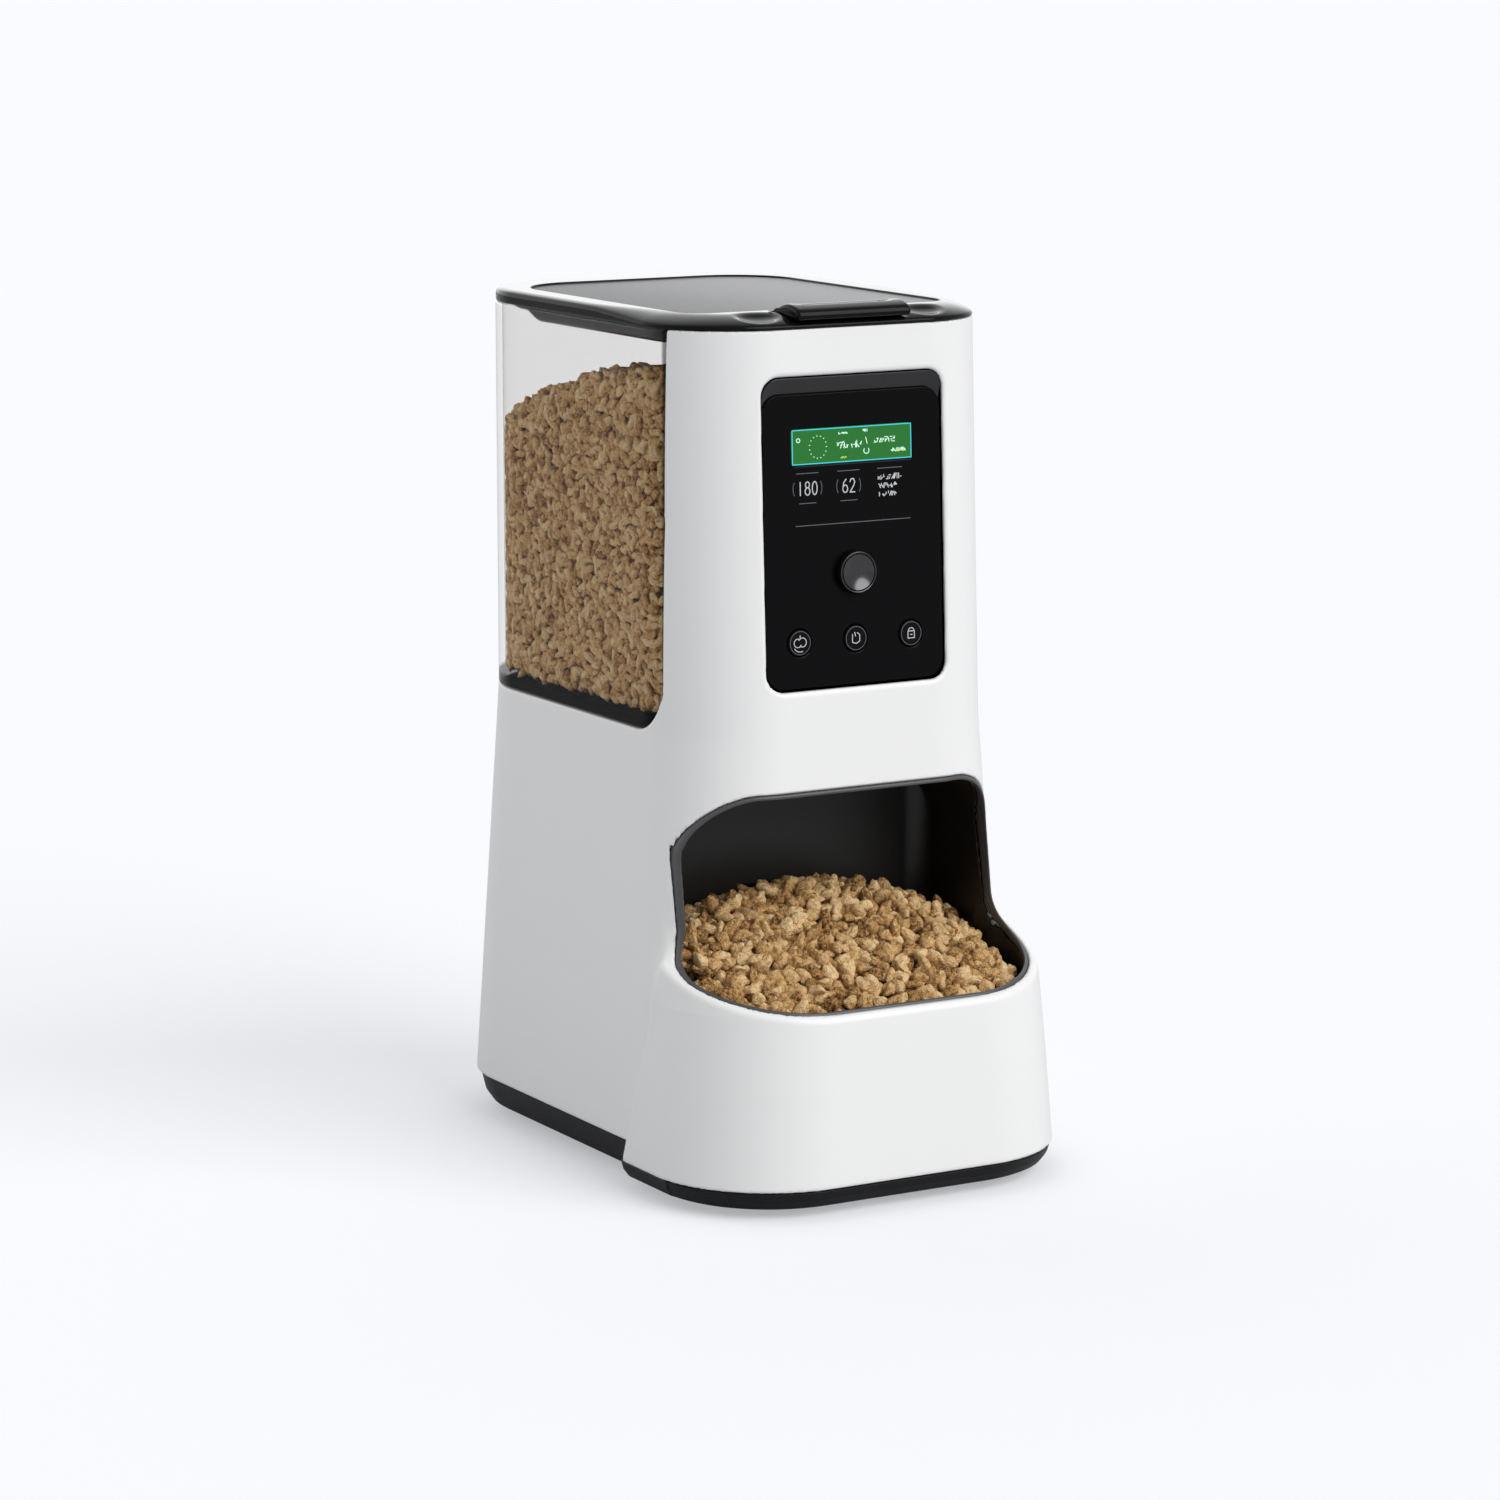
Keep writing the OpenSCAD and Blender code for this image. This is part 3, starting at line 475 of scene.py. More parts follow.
def latch(x, y, z):
    top = 353.6 - 0.030 * (y + 70.5) ** 2
    f = smax(np.maximum(347.6 - z, z - top) * 0.9, slab(y, -80, -60.2), 2.2)
    f = smax(f, np.abs(x) - 26, 1.6)
    dish = np.sqrt((y + 70) ** 2 * 1.6 + np.clip(np.abs(x) - 17, 0, None) ** 2 + (z - 362.2) ** 2) - 9.6
    f = smax(f, -dish, 1.0)
    knuckle = np.maximum(latch_line(y, z) - 2.9, np.abs(x) - 26)
    hook = np.maximum(np.maximum(np.abs(x) - 7, slab(y, -69.4, -67)), slab(z, 337, 349))
    f = smin(f, np.minimum(knuckle, hook), 0.6)
    return np.maximum(f, -(latch_line(y, z) - 1.27))


def collar(x, y, z):
    """Lid's inner lip, deeper along the front half than at the back."""
    low = 341.4 - 3.8 * step(-y, -76, -64)
    out = rrect(x, y, 66, -56, 117.6, 24, 43) + 0.12 * (SEAM - z)
    f = smax(out, low - z, 3.0)
    f = np.maximum(f, z - SEAM)
    return smax(f, -(out + 2.6), 0.5)


def tank(x, y, z):
    out = rrect(x, y, 73.5, -78, 122, 40, 48)
    flush = smax(out, corner2(-52.7 - y, 184.3 - z, 19.7), 0.7)
    inner = smax(out + 3.6, -60.5 - y, 3.0)
    inner = np.maximum(inner, 190 - z)
    f = smin(flush, inner, 1.0)
    f = np.minimum(f, funnel(x, y, z, 0.0))
    cavity = np.minimum(np.maximum(out + 2.8, -49.9 - y), smax(out + 6.4, -57.7 - y, 3.0))
    cavity = np.maximum(cavity, 191.9 - z)
    f = smax(f, -cavity, 0.6)
    f = np.maximum(f, -funnel(x, y, z, 2.2))
    f = smax(f, z - 344.2, 0.8)
    f = np.maximum(f, -np.maximum(hinge_line(y, z) - 3.6, np.abs(np.abs(x) - 23) - 6.7))
    tab = np.maximum(np.maximum(np.abs(x) - 16, slab(y, 121.6, 125.6)), slab(z, 336, 346))
    knuckle = np.maximum(hinge_line(y, z) - 3.2, np.abs(x) - 16)
    f = smin(f, np.minimum(smax(tab, (y - 121.6) - (z - 334) * 0.5, 0.8), knuckle), 0.6)
    return np.maximum(f, -np.maximum(hinge_line(y, z) - 1.56, np.abs(x) - 18))


def funnel(x, y, z, t):
    k = np.clip((192 - z) / 21, 0, 1)
    sq = rrect(x, y, 69.9 - t, -59.5 + t, 118.4 - t, 26 - t, 44 - t)
    ring = np.hypot(x, y - 32) - 41 + t
    d = sq * (1 - k) + ring * k
    return np.maximum(d * 0.8, slab(z, 168.2 - t, 192 + t * 0.1))


def bowl(x, y, z):
    hw = 70.7 + 5.0 * step(-y, 72, 76)
    out = rrect(x, y, hw, -117.7, -19.2, 43.2, 14)
    flange = smax(out, slab(z, 72.6, 75.5), 1.0)
    cup = smax(out + 3 + np.clip(60 - z, 0, None) * 0.15, slab(z, 40.3, 75), 1.5)
    inner = smax(out + 5.2 + np.clip(60 - z, 0, None) * 0.15, 42.5 - z, 4.0)
    return smax(smin(flange, cup, 1.0), -inner, 0.8)


def panel_flat(x, h):
    return panel_outline(x, h + 1.75, 82, 116.5, 8)


def panel(x, d, h):
    """Black front panel in its own face frame: x, depth, height."""
    flat = panel_flat(x, h)
    face = np.where(flat < 0, 2.6, np.clip(3.4 - flat * 0.46, 0.4, 3.4))
    f = smax(panel_outline(x, h - 1.5, 82, 123, 7), np.maximum(face - d, d - 5.8), 0.7)
    lcd_hole = panel_outline(x, h - LCD_H, 55.5, 14.5, 1.6)
    f = smax(f, -lcd_hole, 0.3)
    f = smax(f, -(np.hypot(x, h - KNOB_H) - 3.5), 0.3)
    k = np.abs(x) - BUTTON_X
    ring = np.minimum(np.hypot(x, h - BUTTON_H), np.hypot(k, h - BUTTON_H)) - 5.55
    return smax(f, -ring, 0.45)


# ------------------------------------------------------------------ meshing


def surface(field, lo, hi, h):
    """Closed mesh of field = 0 by surface nets, pulled onto the surface. Returns points in mm and quads."""
    axes = [np.arange(lo[i] - 2 * h, hi[i] + 3 * h, h) for i in range(3)]
    n = [len(a) for a in axes]
    val = np.empty(n, np.float32)
    chunk = max(1, int(1.5e6 / (n[1] * n[2])))
    for i in range(0, n[0], chunk):
        x, y, z = np.meshgrid(axes[0][i:i + chunk], axes[1], axes[2], indexing="ij")
        val[i:i + chunk] = field(x, y, z)
    ins = val < 0
    core = np.zeros([k - 1 for k in n], np.int8)
    for dx in (0, 1):
        for dy in (0, 1):
            for dz in (0, 1):
                core += ins[dx:n[0] - 1 + dx, dy:n[1] - 1 + dy, dz:n[2] - 1 + dz]
    active = (core > 0) & (core < 8)
    idx = np.full(active.shape, -1, np.int64)
    cells = np.argwhere(active)
    idx[active] = np.arange(len(cells))
    total = np.zeros((len(cells), 3))
    count = np.zeros(len(cells))
    for a in range(3):
        u, v = [k for k in range(3) if k != a]
        for du in (0, 1):
            for dv in (0, 1):
                p0 = cells.copy()
                p0[:, u] += du
                p0[:, v] += dv
                p1 = p0.copy()
                p1[:, a] += 1
                f0 = val[p0[:, 0], p0[:, 1], p0[:, 2]]
                f1 = val[p1[:, 0], p1[:, 1], p1[:, 2]]
                cross = (f0 < 0) != (f1 < 0)
                t = np.where(cross, f0 / np.where(cross, f0 - f1, 1), 0)
                p = p0.astype(float)
                p[:, a] += t
                total[cross] += p[cross]
                count[cross] += 1
    pts = total / count[:, None] * h + np.array([a[0] for a in axes])
    quads = []
    for a in range(3):
        u, v = (a + 1) % 3, (a + 2) % 3
        s0 = [slice(None)] * 3
        s1 = [slice(None)] * 3
        s0[a], s1[a] = slice(0, n[a] - 1), slice(1, n[a])
        diff = ins[tuple(s0)] != ins[tuple(s1)]
        e = np.argwhere(diff)
        e = e[(e[:, u] > 0) & (e[:, v] > 0) & (e[:, u] < n[u] - 1) & (e[:, v] < n[v] - 1)]
        flip = ins[e[:, 0], e[:, 1], e[:, 2]]

        def cell(ou, ov):
            c = e.copy()
            c[:, u] -= ou
            c[:, v] -= ov
            return idx[c[:, 0], c[:, 1], c[:, 2]]
        q = np.stack([cell(1, 1), cell(0, 1), cell(0, 0), cell(1, 0)], 1)
        q[~flip] = q[~flip][:, ::-1]
        quads.append(q)
    quads = np.concatenate(quads)
    for _ in range(2):
        g, f = gradient(field, pts, 0.15)
        move = f[:, None] * g / np.maximum((g * g).sum(1), 0.3)[:, None]
        far = np.linalg.norm(move, axis=1, keepdims=True)
        pts = pts - move * np.minimum(1, 0.5 * h / np.maximum(far, 1e-9))
    return pts, quads


def gradient(field, p, e):
    x, y, z = p[:, 0], p[:, 1], p[:, 2]
    g = np.stack([field(x + e, y, z) - field(x - e, y, z), field(x, y + e, z) - field(x, y - e, z),
                  field(x, y, z + e) - field(x, y, z - e)], 1) / (2 * e)
    return g, field(x, y, z)


def mesh_object(name, pts, faces, mat, body_name, smooth=True):
    me = bpy.data.meshes.new(name)
    if isinstance(faces, list):
        me.from_pydata((np.asarray(pts) * MM).tolist(), [], faces)
    else:
        me.vertices.add(len(pts))
        me.vertices.foreach_set("co", (np.asarray(pts, np.float32) * MM).ravel())
        me.loops.add(faces.size)
        me.loops.foreach_set("vertex_index", faces.astype(np.int32).ravel())
        me.polygons.add(len(faces))
        me.polygons.foreach_set("loop_start", np.arange(0, faces.size, faces.shape[1], dtype=np.int32))
        me.update(calc_edges=True)
    me.materials.append(mat)
    me.polygons.foreach_set("use_smooth", [smooth] * len(me.polygons))
    ob = bpy.data.objects.new(name, me)
    bpy.context.scene.collection.objects.link(ob)
    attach(ob, body_name)
    return ob


def field_object(name, field, lo, hi, h, mat, body_name, most=150000, to_row=None):
    """A piece from a distance field: meshed, thinned where flat, shaded with the field's own normals."""
    pts, quads = surface(field, lo, hi, h)
    me = bpy.data.meshes.new(name)
    me.from_pydata(pts.tolist(), [], quads.tolist())
    ob = bpy.data.objects.new(name, me)
    bpy.context.scene.collection.objects.link(ob)
    if len(quads) * 2 > most:
        mod = ob.modifiers.new("thin", "DECIMATE")
        mod.ratio = most / (2 * len(quads))
        dg = bpy.context.evaluated_depsgraph_get()
        me2 = bpy.data.meshes.new_from_object(ob.evaluated_get(dg))
        ob.modifiers.clear()
        ob.data = me2
        bpy.data.meshes.remove(me)
        me = me2
        me.name = name
    co = np.empty(len(me.vertices) * 3)
    me.vertices.foreach_get("co", co)
    co = co.reshape(-1, 3)
    g = gradient(field, co, 0.12)[0]
    size = np.linalg.norm(g, axis=1, keepdims=True)
    g = g / np.maximum(size, 1e-6)
    if to_row is not None:
        co, g = to_row(co), to_row(g, True)
    me.vertices.foreach_set("co", (co * MM).ravel())
    me.polygons.foreach_set("use_smooth", [True] * len(me.polygons))
    me.update()
    plain = np.empty(len(me.vertices) * 3)
    me.vertex_normals.foreach_get("vector", plain)
    plain = plain.reshape(-1, 3)
    weak = (size[:, 0] < 0.4) | ((plain * g).sum(1) < 0.4)
    g[weak] = plain[weak]
    me.normals_split_custom_set_from_vertices(g.tolist())
    me.materials.clear()
    me.materials.append(mat)
    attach(ob, body_name)
    return ob


C, S = math.cos(math.atan(LEAN)), math.sin(math.atan(LEAN))
FACE_Y = -78 - (SEAM - PANEL_MID) * LEAN


def face_to_row(p, direction=False):
    """Face frame (x, depth inwards, height from the panel's middle) to the row frame."""
    p = np.asarray(p, float)
    y = p[:, 1] * C + p[:, 2] * S   # depth runs inwards and slightly down
    z = p[:, 2] * C - p[:, 1] * S   # height runs up and slightly back
    out = np.stack([p[:, 0], y, z], 1)
    if not direction:
        out += np.array([0, FACE_Y, PANEL_MID])
    return out


def face_local(y, z):
    """Depth behind the leaning front face, and height from the panel's middle."""
    dy, dz = y - FACE_Y, z - PANEL_MID
    return dy * C - dz * S, dz * C + dy * S


# ------------------------------------------------------------------ white body, liner, base
o = field_object("housing_shell_skin", shell, (-90, -128, 10), (90, 128, 345), 1.25, WHITE, "housing",
                 190000)
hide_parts("housing_shell")
o = field_object("alcove_liner_skin", liner, (-80, -122, 36), (80, -14, 163), 1.1, LINER, "housing",
        90000)
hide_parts("alcove_liner")
field_object("alcove_trim", trim, (-84, -125, 72), (84, -45, 164.5), 0.7, TRIM, "housing",
        90000)
o = field_object("base_pan_skin", base, (-89, -128, 2.5), (89, 126, 18.5), 1.2, BASE, "housing",
        90000)
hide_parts("base_pan")
for s in (-1, 1):
    def guide(x, y, z, s=s):
        f = np.maximum(np.maximum(np.abs(x - s * 44) - 4, slab(y, 102, 111)), slab(z, 5.4, 97.4))
        return smax(f, -np.maximum(np.maximum(s * x - 44.6, slab(y, 105.6, 107.8)), 12 - z), 0.3)
    field_object("board_guide_" + ("right" if s > 0 else "left"), guide, (s * 44 - 5, 101, 5),
            (s * 44 + 5, 112, 98),
                 0.7, BASE, "housing", 20000)

# ------------------------------------------------------------------ lid
o = field_object("lid_frame_skin", lid, (-74, -79, 343.5), (74, 128, 350.5), 0.7, LID, "lid",
        150000)
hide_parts("lid_frame")


def lid_panel(x, y, z):
    return smax(rrect(x, y, 60, -54, 100, 11.8, 27.8), slab(z, 346.6, 349.3), 0.7)


o = field_object("lid_window_panel", lid_panel, (-61, -55, 346), (61, 101, 350), 0.8, LIDGLASS, "lid",
        60000)
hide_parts("lid_window")
o = field_object("lid_collar", collar, (-67, -57, 336), (67, 119, 345), 0.7, COLLAR, "lid", 90000)
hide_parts("lid_gasket")
o = field_object("latch_bar", latch, (-27, -81, 336), (27, -59, 354.5), 0.5, LID, "latch", 90000)
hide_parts("lid_latch")

# ------------------------------------------------------------------ hopper
o = field_object("hopper_tank_wall", tank, (-74.5, -61.5, 167), (74.5, 128, 350), 1.15, TANK, "hopper",
        190000)
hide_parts("hopper_tank")
# ------------------------------------------------------------------ bowl
o = field_object("feeding_bowl_skin", bowl, (-76.5, -118.5, 40), (76.5, -18.5, 76), 1.0, BOWL, "bowl",
        90000)
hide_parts("feeding_bowl")

# ------------------------------------------------------------------ dry food


def geodesic(f):
    """Ball of 20 f*f triangles."""
    p = (1 + 5 ** 0.5) / 2
    v = np.array([(-1, p, 0), (1, p, 0), (-1, -p, 0), (1, -p, 0), (0, -1, p), (0, 1, p), (0, -1, -p), (0,
            1, -p),
                  (p, 0, -1), (p, 0, 1), (-p, 0, -1), (-p, 0, 1)])
    tri = [(0, 11, 5), (0, 5, 1), (0, 1, 7), (0, 7, 10), (0, 10, 11), (1, 5, 9), (5, 11, 4), (11, 10, 2),
            (10, 7, 6),
           (7, 1, 8), (3, 9, 4), (3, 4, 2), (3, 2, 6), (3, 6, 8), (3, 8, 9), (4, 9, 5), (2, 4, 11), (6, 2,
           10),
           (8, 6, 7), (9, 8, 1)]
    pts, faces, seen = [], [], {}

    def index(q):
        q = q / np.linalg.norm(q)
        key = tuple(np.round(q, 5))
        if key not in seen:
            seen[key] = len(pts)
            pts.append(q)
        return seen[key]
    for a, b, c in tri:
        grid = {(i, j): index(v[a] * (f - i - j) + v[b] * i + v[c] * j)
                for i in range(f + 1) for j in range(f + 1 - i)}
        for i in range(f):
            for j in range(f - i):
                faces.append((grid[i, j], grid[i + 1, j], grid[i, j + 1]))
                if i + j < f - 1:
                    faces.append((grid[i + 1, j], grid[i + 1, j + 1], grid[i, j + 1]))
    return np.array(pts), np.array(faces)


FINE, MEDIUM, COARSE = geodesic(4), geodesic(3), geodesic(2)


def nugget_shapes(rng, count, stretch, ball):
    """Lumpy extruded pieces: each a ball stretched, pinched and dented by a few waves."""
    shapes = []
    for _ in range(count):
        v = ball[0].copy()
        lump = np.zeros(len(v))
        for _ in range(7):
            d = rng.normal(size=3)
            d /= np.linalg.norm(d)
            lump += rng.uniform(0.04, 0.11) * np.sin(v @ d * rng.uniform(2.0, 5.5) + rng.uniform(0, 6.28))
        for _ in range(5):
            d = rng.normal(size=3)
            d /= np.linalg.norm(d)
            lump += 0.035 * np.sin(v @ d * rng.uniform(7.0, 11.0) + rng.uniform(0, 6.28))
        v = v * (1 + lump)[:, None]
        long = rng.uniform(*stretch)
        s = np.array([long, rng.uniform(0.82, 1.05), rng.uniform(0.72, 0.95)])
        v = v * s
        pinch = 1 - rng.uniform(0.0, 0.22) * np.exp(-((v[:, 0] - rng.uniform(-0.3, 0.3)) / 0.45) ** 2)
        v[:, 1:] *= pinch[:, None]
        bend = rng.uniform(-0.16, 0.16)
        v[:, 2] += bend * v[:, 0] ** 2
        shapes.append(v)
    return shapes


def rotations(rng, n, flat=None):
    """Random turns; with flat given as normals, the long axis lies near the surface."""
    a = rng.normal(size=(n, 3))
    if flat is not None:
        a -= (a * flat).sum(1, keepdims=True) * flat * rng.uniform(0.75, 1.0, size=(n, 1))
    a /= np.linalg.norm(a, axis=1, keepdims=True)
    b = rng.normal(size=(n, 3)) if flat is None else flat + rng.normal(size=(n, 3)) * 0.35
    b -= (b * a).sum(1, keepdims=True) * a
    b /= np.linalg.norm(b, axis=1, keepdims=True)
    return np.stack([a, np.cross(b, a), b], 2)


def scatter(name, centres, turns, radii, tones, shapes, ball, rng, mat, body_name, keep=None):
    pick = rng.integers(0, len(shapes), len(centres))
    nv, faces = len(ball[0]), ball[1]
    pts = np.einsum("nvj,nij->nvi", np.array(shapes)[pick], turns) * radii[:, None, None] + centres[:,
            None, :]
    if keep is not None:
        pts = keep(pts.reshape(-1, 3)).reshape(pts.shape)
    per = 190000 // len(faces)
    parts = max(1, math.ceil(len(centres) / per))
    made = []
    order = np.array_split(np.arange(len(centres)), parts)
    for k, ids in enumerate(order):
        p = pts[ids].reshape(-1, 3)
        f = (faces[None] + (np.arange(len(ids)) * nv)[:, None, None]).reshape(-1, 3)
        ob = mesh_object(f"{name}_{k + 1}", p, f, mat, body_name)
        att = ob.data.attributes.new("tone", "FLOAT", "POINT")
        att.data.foreach_set("value", np.repeat(tones[ids], nv).astype(np.float32))
        made.append(ob)
    return made


def loft_object(name, rings, mat, body_name):
    n = len(rings[0])
    pts = np.concatenate(rings)
    faces = [list(range(n))[::-1]]
    for k in range(len(rings) - 1):
        for i in range(n):
            j = (i + 1) % n
            faces.append([k * n + i, k * n + j, (k + 1) * n + j, (k + 1) * n + i])
    faces.append([(len(rings) - 1) * n + i for i in range(n)])
    return mesh_object(name, pts, faces, mat, body_name)


def outline(w, yf, yb, rf, rb, n=16):
    pts = []
    for cx, cy, r, a0 in ((w - rf, yf + rf, rf, -90), (w - rb, yb - rb, rb, 0), (-w + rb, yb - rb, rb, 90),
                          (-w + rf, yf + rf, rf, 180)):
        for i in range(n + 1):
            a = math.radians(a0 + 90 * i / n)
            pts.append((cx + r * math.cos(a), cy + r * math.sin(a)))
    return np.array(pts)


def hopper_top(x, y):
    return 326.0 - 0.00148 * np.clip(y + 50, 0,
            None) ** 2 + 0.9 * np.sin(x * 0.11 + 1) + 0.8 * np.sin(y * 0.13)


def in_tank(p):
    """Keeps the food just inside the clear wall."""
    d = rrect(p[:, 0], p[:, 1], 70.3, -57.4, 118.8, 30, 44.8)
    v = p[:, :2] - np.array([0, 30.0])
    v /= np.linalg.norm(v, axis=1, keepdims=True)
    p[:, :2] -= v * (np.clip(d, 0, None) * 1.05)[:, None]
    return p


rng = np.random.default_rng(41)
ring = outline(70.7, -57.5, 119.2, 30, 45, 24)
seg = np.roll(ring, -1, 0) - ring
length = np.linalg.norm(seg, axis=1)
total = length.sum()


def wall_layer(depth, pitch, rise, spread):
    out = []
    z, row = 192.6, 0
    while z < 331:
        n = int(total / pitch)
        s = (np.arange(n) + 0.5 * (row % 2) + rng.uniform(-0.4, 0.4, n)) / n % 1.0 * total
        k = np.searchsorted(np.cumsum(length), s, side="right").clip(0, len(ring) - 1)
        u = (s - (np.cumsum(length) - length)[k]) / length[k]
        p = ring[k] + seg[k] * u[:, None]
        nrm = np.stack([seg[k][:, 1], -seg[k][:, 0]], 1) / length[k][:, None]
        p = p - nrm * (depth + rng.uniform(-spread, spread, n))[:, None]
        zz = z + rng.uniform(-1.2, 1.2, n)
        ok = (zz < hopper_top(p[:, 0], p[:, 1]) - 1.4) & ((p[:, 1] > -50) | (np.abs(p[:, 0]) > 60))
        out.append(np.column_stack([p, zz, nrm, np.zeros(n)])[ok])
        z += rise
        row += 1
    return np.concatenate(out)


def top_layer(drop, pitch):
    gx, gy = np.meshgrid(np.arange(-67, 68, pitch), np.arange(-55, 117, pitch))
    gx = gx.ravel() + rng.uniform(-0.4, 0.4, gx.size) * pitch
    gy = gy.ravel() + rng.uniform(-0.4, 0.4, gy.size) * pitch
    ok = rrect(gx, gy, 68.2, -55, 116.8, 28, 42.5) < 0
    gx, gy = gx[ok], gy[ok]
    gz = hopper_top(gx, gy) - drop + rng.uniform(-1.0, 1.0, len(gx))
    return np.column_stack([gx, gy, gz, np.zeros((len(gx), 2)), np.ones(len(gx))])


first = True
for name, spots, ball, size in (
        ("hopper_kibble_wall", wall_layer(2.0, 4.3, 3.3, 0.4), MEDIUM, (1.65, 2.1)),
        ("hopper_kibble_behind", wall_layer(4.7, 4.6, 3.8, 0.6), COARSE, (1.9, 2.4)),
        ("hopper_kibble_top", top_layer(0.6, 4.2), MEDIUM, (1.65, 2.1)),
        ("hopper_kibble_under", top_layer(3.6, 4.6), COARSE, (1.9, 2.4))):
    sticks = nugget_shapes(rng, 40, (1.35, 2.0), ball)
    n = len(spots)
    food = scatter(name, spots[:, :3], rotations(rng, n, spots[:, 3:6]), rng.uniform(*size, n),
            rng.uniform(0.0, 0.42, n),
                   sticks, ball, rng, HOPPER_FOOD, "hopper", in_tank)
    if first:
        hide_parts("hopper_food")
        first = False
# Dark filler inside the hopper's food: painted shade where the deeper food lies in shadow.
cap = outline(65, -52, 113.5, 26, 40)
core_rings = [np.column_stack([cap, np.full(68, z)]) for z in (192.0, 240.0)]
core_rings.append(np.column_stack([cap, hopper_top(cap[:, 0], cap[:, 1]) - 6]))
for k in (0.45, 0.85):
    c = cap * (1 - k) + np.array([0, 30]) * k
    core_rings.append(np.column_stack([c, hopper_top(c[:, 0], c[:, 1]) - 5.5]))
loft_object("hopper_food_core", core_rings, FOOD_SHADE_FILL, "hopper")
neck = [np.column_stack([outline(a, b, c, r1, r2), np.full(68, z)]) for a, b, c, r1, r2, z in
        ((37, -5, 69, 36.5, 36.5, 169.5), (37.5, -5.5, 69.5, 36.5, 36.5, 172), (64, -53, 112.5, 26, 40,
        192.2))]
loft_object("hopper_food_neck", neck, FOOD_SHADE_FILL, "hopper")


def bowl_top(x, y):
    """Heap of food in the bowl: highest towards the back, running down to the front rim."""
    side = np.abs(x + 4) / 72
    back = 115.5 - 19 * side ** 2.1
    slope = np.clip((-46 - y) / 66, 0, None)
    return back - (back - 75.5) * np.clip(slope, 0, 1.15) ** 1.12 - 0.012 * np.clip(y + 46, 0, None) ** 2


def in_bowl(p):
    """Keeps the heap clear of the alcove's mouth, at rest and while the bowl lifts 40 mm."""
    flare = 5.0 * step(-p[:, 1], 60, 73) * step(-p[:, 2], -104, -96)
    up = np.clip(p[:, 2] + 40 - 133, 0, 26.5)
    corner = (27 - np.sqrt(27 ** 2 - up ** 2)) * (p[:, 1] > -95)
    limit = 71.5 + flare * (up <= 0) - corner - 1.1
    p[:, 0] = np.clip(p[:, 0], -limit, limit)
    p[:, 1] = np.clip(p[:, 1], -117.2, -19.2)
    return p


rng = np.random.default_rng(77)
nuggets = nugget_shapes(rng, 60, (1.0, 1.7), FINE)
heap = []
for layer, drop in enumerate((0.0, 3.2, 6.4)):
    gx, gy = np.meshgrid(np.arange(-76, 77, 5.3), np.arange(-116, -19, 5.3))
    gx = gx.ravel() + rng.uniform(-2.3, 2.3, gx.size) + (2.6 if layer == 1 else 0)
    gy = gy.ravel() + rng.uniform(-2.3, 2.3, gy.size) + (2.6 if layer == 1 else 0)
    wide = 67.8 + 4.6 * step(-gy, 72, 80)
    ok = rrect(gx, gy, wide, -114.6, -22.5, 41, 12) < 0
    gx, gy = gx[ok], gy[ok]
    gz = bowl_top(gx, gy) - 1.6 - drop + rng.uniform(-1.5, 1.3, len(gx))
    heap.append(np.column_stack([gx, gy, gz]))
heap = np.concatenate(heap)
n = len(heap)
food = scatter("bowl_kibble", heap, rotations(rng, n), rng.uniform(2.45, 3.35, n), rng.uniform(-0.05,
        0.38, n), nuggets, FINE,
               rng, BOWL_FOOD, "bowl", in_bowl)
# Dark filler inside the bowl's heap: painted shade where the deeper food lies in shadow.
cap = outline(61, -107, -29, 34, 8)
core_rings = [np.column_stack([cap, np.full(len(cap), 44.0)]),
              np.column_stack([cap, np.minimum(bowl_top(cap[:, 0], cap[:, 1]) - 9, 102)])]
for k in (0.4, 0.75):
    c = cap * (1 - k) + np.array([-6, -50]) * k
    core_rings.append(np.column_stack([c, bowl_top(c[:, 0], c[:, 1]) - 8]))
loft_object("bowl_food_core", core_rings, FOOD_SHADE_FILL, "bowl")
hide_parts("bowl_food")

# ------------------------------------------------------------------ control panel


def panel_face(x, d, h):
    return np.maximum(panel(x, d, h), panel_flat(x, h) - 0.02)


def panel_bezel(x, d, h):
    """The strip that slopes out above the flat face."""
    return np.maximum(panel(x, d, h), 0.02 - panel_flat(x, h))


o = field_object("control_panel_face", panel_face, (-42, 0, -61), (42, 6.5, 64), 0.62, PANEL, "housing",
                 120000, to_row=face_to_row)
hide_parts("control_panel")
field_object("control_panel_bezel", panel_bezel, (-42, -0.6, 44), (42, 6.5, 64), 0.4, BEZEL, "housing",
        60000,
             to_row=face_to_row)


def lens(x, d, h):
    return smax(panel_outline(x, h - LCD_H, 55, 14, 1.4), slab(d, 2.7, 4.6), 0.35)


o = field_object("lcd_lens_face", lens, (-28, 2.2, 28), (28, 5, 43), 0.4, LCD, "housing",
        60000, to_row=face_to_row)
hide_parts("lcd_lens")


def lathe(name, profile, centre, mat, body_name, n=96):
    """Turned piece on the face: profile is (radius, depth) pairs, centre is (x, height)."""
    rings = []
    for r, d in profile:
        a = np.linspace(0, 2 * math.pi, n, endpoint=False)
        rings.append(np.column_stack([centre[0] + r * np.cos(a), np.full(n, d), centre[1] + r * np.sin(a)]))
    pts = np.concatenate(rings)
    faces = [list(range(n))]
    for k in range(len(rings) - 1):
        for i in range(n):
            j = (i + 1) % n
            faces.append([k * n + i, (k + 1) * n + i, (k + 1) * n + j, k * n + j])
    faces.append([(len(rings) - 1) * n + i for i in range(n)][::-1])
    ob = mesh_object(name, face_to_row(pts), faces, mat, body_name)
    return ob


